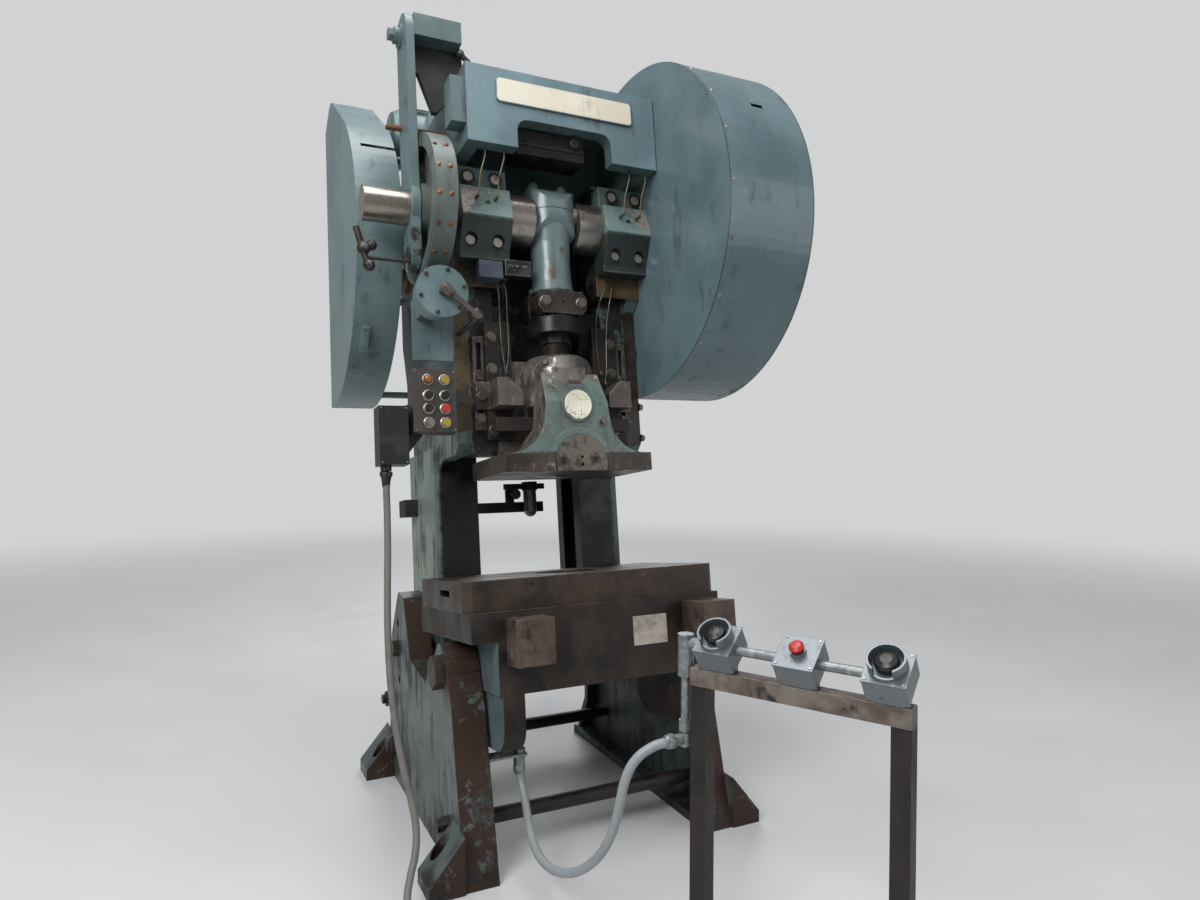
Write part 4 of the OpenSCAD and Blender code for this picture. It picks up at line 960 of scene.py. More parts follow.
    @staticmethod
    def pick_faces(piece: Piece, wanted: Callable[[Vector, Vector], bool]) -> None:
        """In edit mode, select just the faces that are wanted.

        Args:
            piece: the piece.
            wanted: says yes or no to a face's centre and normal.
        """
        bpy.ops.mesh.select_mode(type="FACE")
        bpy.ops.mesh.select_all(action="DESELECT")
        bpy.ops.object.mode_set(mode="OBJECT")
        for face in piece.data.polygons:
            face.select = wanted(face.center, face.normal)
        bpy.ops.object.mode_set(mode="EDIT")

    @staticmethod
    def pipe(name: str, points: Sequence[Point], diameter: float, steps: int = 8) -> Piece:
        """A bent tube, made a mesh.

        Args:
            name: the piece's name.
            points: where its middle runs.
            diameter: its outer diameter.
            steps: how many pieces each run between two points has.

        Returns:
            The piece.
        """
        Bench.clear()
        bpy.ops.curve.primitive_bezier_curve_add()
        line = Bench.named(name).data
        line.splines.clear()
        draw_route(line, points, diameter / 2, steps, round_steps=3)
        bpy.ops.object.convert(target="MESH")
        return Bench.named(name)

    @staticmethod
    def outline(name: str, points: Sequence[Flat], thick: float, matrix: Matrix) -> Piece:
        """A flat plate cut to an outline.

        Args:
            name: the piece's name.
            points: the outline's corners, in X and Y, going round anticlockwise.
            thick: how far it rises along Z.
            matrix: the move to its own place, in millimetres.

        Returns:
            The piece.
        """
        Bench.clear()
        bpy.ops.mesh.primitive_circle_add(vertices=len(points), radius=1, fill_type="NGON")
        piece = Bench.named(name)
        for corner, (x, y) in zip(piece.data.vertices, points):
            corner.co = (x, y, 0)
        bpy.ops.object.mode_set(mode="EDIT")
        bpy.ops.mesh.select_all(action="SELECT")
        bpy.ops.mesh.extrude_region_move(TRANSFORM_OT_translate={"value": (0, 0, thick)})
        bpy.ops.mesh.select_all(action="SELECT")
        bpy.ops.mesh.normals_make_consistent(inside=False)
        bpy.ops.object.mode_set(mode="OBJECT")
        return Bench.fix(piece, matrix)

    @staticmethod
    def repeat(piece: Piece, moves: Sequence[Matrix], name: str) -> Piece:
        """Copy a piece, each copy with its own mesh, and join the copies as one piece.

        Args:
            piece: the piece, which the copies take the place of.
            moves: one move for each copy.
            name: the name of them all.

        Returns:
            The joined piece.
        """
        copies = []
        for move in moves:
            twin = piece.copy()
            twin.data = piece.data.copy()
            bpy.context.scene.collection.objects.link(twin)
            copies.append(Bench.fix(twin, move))
        bpy.data.objects.remove(piece)
        return Bench.join(copies, name)

    @staticmethod
    def scatter(piece: Piece, spots: Sequence[Point], name: str) -> Piece:
        """Copy a piece to each spot, unturned, and join the copies as one piece."""
        return Bench.repeat(piece, [Matrix.Translation(spot) for spot in spots], name)

    @staticmethod
    def join(pieces: Sequence[Piece], name: str) -> Piece:
        """Join pieces as one.

        Args:
            pieces: the pieces.
            name: the name of them all.

        Returns:
            The joined piece.
        """
        Bench.only(pieces[0])
        for other in pieces[1:]:
            other.select_set(True)
        if len(pieces) > 1:
            bpy.ops.object.join()
        return Bench.named(name)


def draw_route(
    line: bpy.types.Curve, points: Sequence[Point], radius: float, steps: int, round_steps: int
) -> None:
    """Draw one smooth open route on a curve, with a closed round section.

    Args:
        line: the curve.
        points: where the route runs.
        radius: half the section's diameter.
        steps: how many pieces each run between two points has.
        round_steps: how fine the section is.
    """
    line.dimensions = "3D"
    spline = line.splines.new("BEZIER")
    spline.bezier_points.add(len(points) - 1)
    for knot, place in zip(spline.bezier_points, points):
        knot.co = place
        knot.handle_left_type = knot.handle_right_type = "AUTO"
    line.resolution_u = steps
    line.bevel_depth = radius
    line.bevel_resolution = round_steps
    line.use_fill_caps = True


def rounded(low: Flat, high: Flat, radius: float, steps: int = 4) -> List[Flat]:
    """A rectangle with round corners.

    Args:
        low: its low corner.
        high: its high corner.
        radius: the radius of its corners.
        steps: how many pieces each round corner has.

    Returns:
        Its points, going round anticlockwise.
    """
    left, right = low[0] + radius, high[0] - radius
    bottom, top = low[1] + radius, high[1] - radius
    points = []
    for x, y, start in ((right, bottom, -90), (right, top, 0), (left, top, 90), (left, bottom, 180)):
        for i in range(steps + 1):
            a = math.radians(start + 90 * i / steps)
            points.append((x + radius * math.cos(a), y + radius * math.sin(a)))
    return points


def front_face(y: float) -> Matrix:
    """The move that stands a flat plate up, facing the press's front, with its back at y."""
    return Matrix.Translation((0, y, 0)) @ Matrix.Rotation(math.radians(90), 4, "X")


@dataclass
class SubAssembly:
    """What every sub-assembly shares: the body it rides on and the pieces made so far."""

    body: str = "frame"
    place: Place = Place.PRESS
    made: List[Piece] = field(default_factory=list)

    def keep(
        self, piece: Piece, finish: Finish, angle: float = 35, rounding: float = 0.0
    ) -> Piece:
        """Set a piece down in the part's frame, give it its finish and let it ride.

        Args:
            piece: the piece, in millimetres in this sub-assembly's frame.
            finish: its finish.
            angle: edges sharper than this stay crisp.
            rounding: the radius that corners catch the light with, in millimetres.

        Returns:
            The same piece.
        """
        Bench.fix(piece, self.place.matrix() @ Matrix.Scale(MM, 4))
        bpy.ops.object.shade_smooth_by_angle(angle=math.radians(angle))
        piece.data.materials.clear()
        piece.data.materials.append(material(finish, rounding=rounding))
        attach(piece, self.body)
        self.made.append(piece)
        log.info("made %s: %d faces, rides on %s", piece.name, len(piece.data.polygons), self.body)
        return piece

    def dress(
        self, names: Sequence[str], finish: Finish, zones: Tuple[Zone, ...] = (),
        rounding: float = 2.5,
    ) -> None:
        """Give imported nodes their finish.

        Args:
            names: the nodes.
            finish: the finish that shows wherever no zone does.
            zones: the zones, each over the ones before it.
            rounding: the radius that corners catch the light with, in millimetres.
        """
        for name in names:
            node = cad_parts[name]
            node.data.materials.clear()
            node.data.materials.append(material(finish, zones, rounding))
            log.info("dressed %s in %s", name, finish.name)

    def build(self) -> None:
        """Make this sub-assembly's pieces and dress its nodes."""
        raise NotImplementedError


@dataclass
class Viewpoint:
    """The camera at the photograph's place, for an image of 1200 by 900."""

    stand: Point = (-1.310, -3.129, 1.490)
    yaw: float = 26.440
    pitch: float = -1.036
    roll: float = -0.255
    focal: float = 820.04 / 1200 * 36
    sensor: float = 36
    reach: float = 200

    def build(self) -> None:
        """Add the camera and make it the scene's own."""
        yaw, pitch, roll = (math.radians(a) for a in (self.yaw, self.pitch, self.roll))
        flat = math.cos(pitch)
        ahead = Vector((math.sin(yaw) * flat, math.cos(yaw) * flat, math.sin(pitch)))
        level = Vector((math.cos(yaw), -math.sin(yaw), 0))
        above = level.cross(ahead)
        right = level * math.cos(roll) - above * math.sin(roll)
        up = above * math.cos(roll) + level * math.sin(roll)
        data = bpy.data.cameras.new("photo_camera")
        data.lens = self.focal
        data.sensor_width = self.sensor
        data.sensor_fit = "HORIZONTAL"
        data.clip_end = self.reach
        camera = bpy.data.objects.new("photo_camera", data)
        bpy.context.scene.collection.objects.link(camera)
        turn = Matrix((right, up, -ahead)).transposed().to_4x4()
        camera.matrix_world = Matrix.Translation(self.stand) @ turn
        bpy.context.scene.camera = camera


@dataclass
class Cord(SubAssembly):
    """A free cord along its route in the floor's frame, with its diameter in metres."""

    body: str = "base"
    place: Place = Place.FLOOR
    diameter: float = 0.024
    run_steps: int = 6
    round_steps: int = 5

    def lay_curve(self, name: str, points: Sequence[Point], finish: Finish) -> Piece:
        """Make one open curve with a round section.

        Args:
            name: the piece's name.
            points: where its middle runs, in metres.
            finish: its finish.

        Returns:
            The piece.
        """
        line = bpy.data.curves.new(name, "CURVE")
        draw_route(line, points, self.diameter / 2, self.run_steps, self.round_steps)
        piece = bpy.data.objects.new(name, line)
        bpy.context.scene.collection.objects.link(piece)
        line.materials.append(material(finish, rounding=0.0))
        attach(piece, self.body)
        return piece


def in_metres(points: Sequence[Point]) -> List[Point]:
    """Points in millimetres, written in metres."""
    return [tuple(v * MM for v in p) for p in points]


def eased(part: float) -> float:
    """A way from 0 to 1 with a soft start and end, as part goes from 0 to 1."""
    part = min(1.0, max(0.0, part))
    return part * part * (3 - 2 * part)


@dataclass
class FlexibleConduit(Cord):
    """The grey conduit that hangs from the two-hand stand to the connector on the left leg."""

    diameter: float = 0.028
    fitting: Tuple[Flat, ...] = (
        (14.3, 0), (20, 0), (21, 2), (21, 16), (18.5, 18), (18.5, 24), (16, 28), (14.3, 28),
        (14.3, 0),
    )
    route: Tuple[Point, ...] = (
        (-88.8, -1148.6, 622), (-108, -1148.3, 621.2), (-148.8, -1137.8, 611),
        (-196.2, -1120.9, 574), (-221.4, -1108.8, 517.9), (-229.8, -1096.6, 456.5),
        (-234, -1079.1, 396), (-239.1, -1054.6, 338.1), (-247.3, -1022.6, 284.3),
        (-258.6, -983.6, 236.1), (-272.3, -937.9, 194.8), (-286.9, -886, 162),
        (-300.1, -828.6, 139.4), (-309.6, -767.3, 128.6), (-312.9, -704.4, 130.5),
        (-309.6, -643, 144.4), (-301.2, -585.2, 168.2), (-290.3, -531.8, 197.1),
        (-281.3, -484, 231.2), (-279.6, -447.1, 272), (-281.6, -433.6, 307), (-282, -432, 325.7),
    )

    def build(self) -> None:
        """Lay the conduit with its two screwed fittings."""
        points = in_metres(self.route)
        piece = self.lay_curve("conduit_sheath", points, GREY_CONDUIT)
        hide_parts("flexible_conduit")
        for name, spot, way in (
            ("conduit_fitting_stand", self.route[0], (-1, 0, 0)),
            ("conduit_fitting_leg", self.route[-1], DOWN),
        ):
            self.keep(Bench.turned(name, self.fitting, spot, way), ZINC)


@dataclass
class SupplyCable(Cord):
    """The grey supply cable, from the junction box down the left side to its coil on the floor.

    Each of the coil's turns is a radius and a height, and each place of its rise to the plug is
    an angle, a radius and a height. It comes in from the route over the settling part of its
    first turn, and goes over to the next turn in the climbing part at the end of each.
    """

    coil: Flat = (-883, -850)
    entry_radius: float = 180.3
    turns: Tuple[Flat, ...] = ((155.5, 12.4), (131, 12.4), (131.5, 36.6), (155.5, 36.6))
    turn_steps: int = 16
    settling: float = 0.25
    climbing: float = 0.3
    rise: Tuple[Point, ...] = (
        (55, 155.5, 44), (28, 155.5, 54), (0, 155, 61), (-30, 155, 65), (-60, 156, 72),
    )
    plug_end: Point = (-935.3, -1001.3, 78.3)
    plug_way: Point = (-0.7071, 0.7071, 0)
    gland: Tuple[Flat, ...] = (
        (12.2, 0), (21, 0), (22, 3), (22, 14), (18, 18), (15, 34), (13.2, 52), (12.2, 52),
        (12.2, 0),
    )
    plug: Tuple[Flat, ...] = (
        (0, 0), (13, 0), (14, 8), (17, 30), (23, 36), (23, 52), (29.8, 56), (29.8, 90), (27, 92),
        (27, 95), (29.8, 97), (29.8, 136), (27.5, 140), (25, 140), (25, 122), (0, 122),
    )
    route: Tuple[Point, ...] = (
        (-707, -247, 1359), (-707, -247.4, 1340), (-706.7, -251.3, 1291.6), (-706.5, -261.4, 1223),
        (-709.9, -287, 1086.7), (-716.8, -315.8, 951.2), (-722.2, -347.2, 816.1),
        (-722.2, -381.6, 681.7), (-719.5, -400.1, 614.9), (-715, -419.6, 548.5),
        (-708.5, -440.4, 482.7), (-699.8, -462.8, 417.6), (-689.4, -487.2, 353.5),
        (-678.8, -513.9, 290.4), (-674.5, -543.4, 227.8), (-684.8, -575, 167.2),
        (-709, -609.6, 112.2), (-728.5, -655.2, 64.4), (-721.6, -715.2, 31.5),
        (-706.8, -780.9, 16), (-702.7, -820, 12.8), (-702.7, -850, 12.6),
    )

    def on_coil(self, angle: float, radius: float, height: float) -> Point:
        """A place round the coil's middle, with its angle in radians."""
        x, y = self.coil
        return (x + radius * math.cos(angle), y + radius * math.sin(angle), height)

    def coil_points(self) -> List[Point]:
        """Draw the coil clockwise from where the route meets it, and its rise to the plug.

        The route has the coil's first place already, and its last three make way for the rise.

        Returns:
            The places that it runs through.
        """
        points = []
        for turn, (radius, height) in enumerate(self.turns):
            next_radius, next_height = self.turns[min(turn + 1, len(self.turns) - 1)]
            for i in range(self.turn_steps):
                part = i / self.turn_steps
                r = radius
                if turn == 0:
                    come_in = eased(part / self.settling)
                    r = self.entry_radius + (radius - self.entry_radius) * come_in
                late = eased((part - (1 - self.climbing)) / self.climbing)
                r += (next_radius - radius) * late
                z = height + (next_height - height) * late
                points.append(self.on_coil(-2 * math.pi * part, r, z))
        rise = [self.on_coil(math.radians(angle), r, z) for angle, r, z in self.rise]
        return points[1:-3] + rise + [self.plug_end]

    def build(self) -> None:
        """Lay the cable with its coil, its gland and its plug."""
        points = in_metres(list(self.route) + self.coil_points())
        piece = self.lay_curve("supply_cable_sheath", points, GREY_CABLE)
        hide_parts("supply_cable", "supply_coil")
        gland = Bench.turned("cable_gland", self.gland, self.route[0], DOWN)
        plug = Bench.turned("supply_plug", self.plug, self.plug_end, self.plug_way)
        ends = [self.keep(end, BLACK_PLASTIC) for end in (gland, plug)]


@dataclass
class Studio:
    """A plain pale floor, a plain world and soft lamps, all in metres.

    Each lamp is its name, where it hangs, where it aims, how wide it is and its power.
    """

    floor_half: float = 14.0
    fade: Flat = (3.6, 12.0)
    pale: Tuple[Colour, Colour] = ((0.50, 0.505, 0.51), (0.58, 0.58, 0.58))
    sky: Colour = (0.93, 0.96, 1.0)
    sky_strength: float = 0.34
    backdrop: Colour = (0.64, 0.645, 0.65)
    lamps: Tuple[Tuple[str, Point, Point, float, float], ...] = (
        ("key_lamp", (-5.2, -4.2, 5.6), (0, 0, 1.6), 3.2, 400),
        ("fill_lamp", (4.5, -5.5, 3.2), (0, 0, 1.2), 4.0, 70),
        ("top_lamp", (-0.5, -0.5, 6.5), (0, 0, 0), 4.0, 260),
        ("back_lamp", (2.5, 6.0, 4.5), (0, 0, 1.6), 4.0, 170),
    )

    def lay_floor(self) -> None:
        """Make the floor, which fades out far from the press."""
        Bench.clear()
        bpy.ops.mesh.primitive_plane_add(size=2 * self.floor_half)
        floor = Bench.named("studio_floor")
        kit = Kit("studio_floor")
        colour = kit.tint(kit.noise(900, detail=5), *self.pale)
        rough = kit.blend(kit.step(kit.noise(500), 0.3, 0.7), 0.42, 0.58)
        skin = kit.times(kit.noise(6, detail=3), 0.04)
        floor.data.materials.append(kit.close(Layer(colour, rough, 0.0, skin), 0.0))
        away = kit.add("ShaderNodeVectorMath", {0: kit.place}, operation="LENGTH").outputs["Value"]
        clear = kit.add("ShaderNodeBsdfTransparent").outputs[0]
        parts = {0: kit.step(away, *self.fade), 1: kit.shader.outputs[0], 2: clear}
        faded = kit.add("ShaderNodeMixShader", parts).outputs[0]
        feed(kit.tree, kit.output.inputs["Surface"], faded)

    def light_world(self) -> None:
        """Make the world: one colour that lights the press, and one that is seen behind it."""
        world = bpy.data.worlds.new("studio_world")
        world.use_nodes = True
        tree = world.node_tree
        tree.nodes.clear()
        kind = "ShaderNodeBackground"
        light = wire(tree, kind, {"Color": self.sky, "Strength": self.sky_strength}).outputs[0]
        seen = wire(tree, kind, {"Color": self.backdrop, "Strength": 1.0}).outputs[0]
        direct = wire(tree, "ShaderNodeLightPath", {}).outputs["Is Camera Ray"]
        both = wire(tree, "ShaderNodeMixShader", {0: direct, 1: light, 2: seen}).outputs[0]
        wire(tree, "ShaderNodeOutputWorld", {"Surface": both})
        bpy.context.scene.world = world

    def hang_lamps(self) -> None:
        """Make the lamps."""
        for name, spot, aim, size, power in self.lamps:
            lamp = bpy.data.lights.new(name, "AREA")
            lamp.size = size
            lamp.energy = power
            holder = bpy.data.objects.new(name, lamp)
            bpy.context.scene.collection.objects.link(holder)
            holder.location = spot
            holder.rotation_euler = (Vector(aim) - Vector(spot)).to_track_quat("-Z", "Y").to_euler()

    def build(self) -> None:
        """Make the floor, the world and the lamps."""
        self.lay_floor()
        self.light_world()
        self.hang_lamps()
        bpy.context.scene.view_settings.view_transform = "Standard"


def round_crank(x: float, degrees: float, radius: float) -> Matrix:
    """Find a place round the crankshaft's axis.

    Args:
        x: how far along the axis it lies.
        degrees: how far round it lies, from the back over the top to the front.
        radius: how far from the axis it lies.

    Returns:
        The move that stands a piece made along Z there, pointing away from the axis.
    """
    a = math.radians(degrees)
    out = Vector((0, math.cos(a), math.sin(a)))
    return Bench.aim(tuple(Vector((x, *CRANK)) + out * radius), tuple(out))


@dataclass
class MainFrame(SubAssembly):
    """The one-piece cast frame with its bolster: crown, cheeks, head, bed and lugs."""

    name_field: Tuple[Flat, Flat] = ((-281, 1773), (289, 1863))
    bed_plate: Tuple[Flat, Flat] = ((116, -272), (256, -168))
    side_bolts: Tuple[Point, ...] = ((400, 335, 667), (400, 335, 534), (400, 335, 900))
    bolster_plugs: Tuple[Point, ...] = ((-256, 0, -20), (295, 0, -20))
    zones: Tuple[Zone, ...] = (
        # Painted light: the crown's front and upward faces wear the lighter copy of the enamel.
        Zone(
            LIT_CROWN_GREEN, (None, None, 1560), (None, 320, None),
            soft=20, ragged=30, facing=(0, -1, 0.15),
        ),
        Zone(PALE_GREEN, (None, None, -105), (-398, None, 700), soft=6, ragged=8),
        Zone(BLACK_OIL, (-398, 560, -140), (398, None, 620), soft=12, ragged=20),
        Zone(BED_IRON, OPEN, (None, 640, -96), soft=6, ragged=14),
        Zone(SHADE_GREEN, OPEN, (-309, 340, -206), soft=8, ragged=12, facing=(-1, 0, 0)),
        Zone(DARK_IRON, (-343, 200, 450), (343, 640, 1590), soft=6, ragged=14, broken=0.15),
        Zone(OCHRE, (-404, 262, 1112), (404, 290, 1206), soft=4, ragged=8, facing=FORWARD),
        Zone(OCHRE, (-404, 320, 560), (-343, 345, 1080), soft=6, ragged=20, facing=FORWARD),
        Zone(BROWN_IRON, (343, 320, 500), (404, 345, 1080), soft=6, ragged=20, facing=FORWARD),
        Zone(PINK_IRON, (-372, -200, -300), (-226, -33, -120), soft=4, ragged=8, broken=0.1),
        Zone(PINK_IRON, (326, -200, -310), (466, -33, -120), soft=4, ragged=8, broken=0.1),
    )

    def build(self) -> None:
        """Dress the castings and add the name field, side bolts, bare plate and plugs."""
        self.dress(["main_frame"], SHADE_GREEN, self.zones, rounding=5)
        self.dress(["bolster_plate"], BROWN_IRON, rounding=3)
        corners = rounded(*self.name_field, radius=14)
        name_field = Bench.outline("name_field", corners, thick=1.4, matrix=front_face(49.4))
        Bench.ease(name_field, 0.5, steps=1)
        self.keep(name_field, CREAM)
        outline = [(0, -1), (17, -1), (17, 2.6), (16, 3.4), (0, 3.4)]
        washer = Bench.turned("washer", outline, way=SIDEWAYS, steps=24)
        head = Bench.nut("head", (3, 0, 0), SIDEWAYS, across=27, high=14)
        bolt = Bench.join([washer, head], "side")
        self.keep(Bench.scatter(bolt, self.side_bolts, "side_bolts"), MACHINE)
        corners = rounded(*self.bed_plate, radius=3, steps=2)
        bed_plate = Bench.outline("bed_plate", corners, thick=1.0, matrix=front_face(-30))
        self.keep(bed_plate, BARE_PLATE)
        outline = [(0, -1), (9, -1), (9, 1.2), (8, 2), (4.5, 2), (4.5, -0.5), (0, -0.5)]
        plug = Bench.turned("plug", outline, steps=20)
        self.keep(Bench.scatter(plug, self.bolster_plugs, "bolster_plugs"), DARK_IRON)


@dataclass
class Bearings(SubAssembly):
    """Main bearing caps with their bolts, bushings, oil tubes and oil metering blocks."""

    plug_spots: Tuple[Point, ...] = ((-300, 155, 1410), (306, 155, 1410))
    plug_tilt: float = 15
    bolt_x: Flat = (254, 363)
    bolt_z: Flat = (1272, 1524)
    stems: Tuple[float, ...] = (-208, -188, -168, -148)
    zones: Tuple[Zone, ...] = (
        Zone(CAP_FACE, (None, None, 1358), (None, 180, 1500), soft=4, ragged=4),
        Zone(CAP_FACE, OPEN, (None, None, 1213), soft=1, ragged=1, facing=FORWARD),
        Zone(BLACK_OIL, (None, None, 1200), (None, None, 1352), soft=6, ragged=10, part=0.75),
    )

    def build(self) -> None:
        """Dress the caps and add plugs, rings round the bolts, and the metering blocks."""
        self.dress(["bearing_caps"], CAP_GREEN, self.zones, rounding=4)
        self.dress(["cap_bolts"], CAP_BOLT)
        self.dress(["crank_bushings", "backshaft_bearings"], BRONZE, rounding=1)
        self.dress(["oil_tubes"], TUBE, rounding=0)
        outline = [(0, 0), (10, 0), (10, 3), (8, 4.5), (5, 4.5), (5, 1), (0, 1)]
        plug = Bench.turned("plug", outline, steps=20)
        tilt = Matrix.Rotation(math.radians(self.plug_tilt), 4, "X")
        moves = [Matrix.Translation(spot) @ tilt for spot in self.plug_spots]
        self.keep(Bench.repeat(plug, moves, "cap_plugs"), DARK_IRON)
        outline = [(18.5, 0), (28, 0), (29, -1.5), (18.5, -1.5), (18.5, 0)]
        ring = Bench.turned("ring", outline)
        spots = [(side * x, 189, z) for side in (-1, 1) for x in self.bolt_x for z in self.bolt_z]
        self.keep(Bench.scatter(ring, spots, "cap_bolt_rings"), BLACK_OIL)
        metering = Bench.block("metering_block", (-333, 192, 1132), (-236, 275, 1200), ease=3)
        self.keep(metering, BLUE_GREY, rounding=1)
        bodies = [Bench.block("injector_block", (-226, 196, 1150), (-120, 250, 1212), ease=2)]
        outline = [(0, 0), (8, 0), (8, 10), (5, 13), (5, 22), (0, 23)]
        for x in self.stems:
            bodies.append(Bench.turned("stem", outline, (x, 196, 1181), steps=16))
        self.keep(Bench.join(bodies, "oil_injectors"), INJECTOR)
        bridge = Bench.block("injector_bridge", (-236, 236, 1140), (-204.2, 275, 1170), ease=2)
        self.keep(bridge, DARK_IRON)


@dataclass
class Crankwork(SubAssembly):
    """Crankshaft with its polished stub, and the brake drum on it."""

    body: str = "crank"

    def build(self) -> None:
        """Dress the shaft and the drum."""
        self.dress(["crankshaft"], SHAFT, rounding=1.5)
        self.dress(["brake_drum"], BAND, rounding=2)


@dataclass
class Brake(SubAssembly):
    """Brake band round the drum, its rivets, and the cylinder that works it.

    One rivet of each row is left out where the band's two ends meet, below the drum.
    """

    rivet_radius: float = 280
    rows: Flat = (-529, -487)
    rivet_angles: Tuple[float, ...] = tuple(146 + 21.5 * k for k in range(16) if k != 6)
    cover: Point = (-510, 80, 1026)
    cover_radius: float = 82
    pipe_way: Point = (124, 6, -86)
    zones: Tuple[Zone, ...] = (
        Zone(MACHINE, OPEN, (None, 78.5, None), soft=0.3, ragged=0),
        Zone(MACHINE, (-405, None, None), (None, None, 968), soft=1, ragged=0),
    )

    def build(self) -> None:
        """Dress the band and the cylinder and add rivets, cover screws and pipe unions."""
        self.dress(["brake_band"], BAND, rounding=2)
        self.dress(["brake_cylinder"], GREEN, self.zones, rounding=3)
        outline = [(0, 4.5), (5, 4), (8, 2), (9, -1.5), (0, -1.5)]
        rivet = Bench.turned("rivet", outline, way=UP, steps=16)
        moves = [round_crank(x, a, self.rivet_radius) for x in self.rows for a in self.rivet_angles]
        self.keep(Bench.repeat(rivet, moves, "band_rivets"), COPPER)
        screw = Bench.nut("screw", HERE, FORWARD, across=15, high=7)
        x, y, z = self.cover
        around, radius = [math.radians(a) for a in range(15, 375, 60)], self.cover_radius
        spots = [(x + radius * math.cos(a), y, z + radius * math.sin(a)) for a in around]
        self.keep(Bench.scatter(screw, spots, "cover_screws"), DARK_IRON)
        union = Bench.nut("union", (-504, 62, 1026), FORWARD, across=50, high=12)
        outline = [(0, -26), (17, -26), (19, -20), (19, 18), (15, 22), (0, 22)]
        elbow = Bench.turned("elbow", outline, (-498, 58, 1020), self.pipe_way, steps=20)
        outline = [(0, -14), (16, -14), (17, -12), (17, 12), (16, 14), (0, 14)]
        lower = Bench.turned("lower_union", outline, (-392, 65.5, 948), self.pipe_way, steps=6)
        self.keep(Bench.join([union, elbow, lower], "brake_pipe_unions"), MACHINE)


@dataclass
class HangerArm(SubAssembly):
    """The flat link beside the drum, its bracket, and the strap to the flywheel guard."""

    strap: Tuple[Flat, ...] = ((-640, 1729), (-404, 1729), (-404, 1742), (-640, 1742))
    arm_zones: Tuple[Zone, ...] = (
        Zone(BROWN_IRON, (None, 215, 1080), (-582, 260, 1330), soft=3, ragged=4),
        Zone(DARK_IRON, (None, None, 1140), (-540, None, 1300), soft=8, ragged=12, broken=0.35),
    )
    bracket_zones: Tuple[Zone, ...] = (
        Zone(BLACK_PAINT, (None, 225, 1780), (None, 330, 2064), soft=2, ragged=2),
    )

    def build(self) -> None:
        """Dress the link and its bracket and add the rusty strap."""
        self.dress(["hanger_arm"], GREEN, self.arm_zones, rounding=3)
        self.dress(["arm_bracket"], SHADE_GREEN, self.bracket_zones, rounding=2)
        strap = Bench.outline("guard_strap", self.strap, thick=26, matrix=front_face(330))
        Bench.ease(strap, 1.5)
        self.keep(strap, RUSTY_STRAP)


@dataclass
class ConnectingRod(SubAssembly):
    """Connecting rod with its clamp, cap and adjusting screw."""

    body: str = "connecting_rod"
    thread_root: float = 50.05
    thread_crest: float = 52.6
    thread_pitch: float = 6
    thread_turns: int = 9
    washer_spots: Tuple[Point, ...] = ((-76, 171, 1052), (76, 171, 1052))
    zones: Tuple[Zone, ...] = (
        Zone(OIL_RUN, (4, None, 1260), (26, 230, 1500), soft=6, ragged=14, broken=0.55),
        Zone(OIL_RUN, (-40, None, 1120), (-18, 230, 1250), soft=6, ragged=12, broken=0.5),
        Zone(DARK_IRON, (None, None, 960), (None, None, 1112), soft=6, ragged=8),
        Zone(BLACK_OIL, (None, None, 1436.6), (None, 275, 1439.4), soft=0.7, ragged=0.5),
    )

    def build(self) -> None:
        """Dress the rod and add the screw's thread and the clamp's washers."""
        self.dress(["pitman", "pitman_cap"], ROD_GREEN, self.zones, rounding=5)
        self.dress(["clamp_cap"], CLAMP_CAP, rounding=4)
        self.dress(["clamp_bolts"], MACHINE, rounding=2)
        self.dress(["adjusting_screw"], BLACK_OIL, rounding=2)
        root, crest = self.thread_root, self.thread_crest
        outline: List[Flat] = [(root, 0)]
        for k in range(self.thread_turns):
            z = self.thread_pitch * k
            outline += [(crest, z + 2.2), (crest, z + 3.6), (root, z + self.thread_pitch)]
        outline.append((root, 0))
        thread = Bench.turned("screw_thread", outline, (0, 275, 844), UP, steps=40)
        self.keep(thread, DARK_IRON)
        outline = [(0, -6), (20, -6), (22, -3), (22, 3), (17, 7), (0, 8)]
        cup = Bench.turned("cup", outline, steps=24)
        self.keep(Bench.scatter(cup, self.washer_spots, "clamp_washers"), MACHINE)


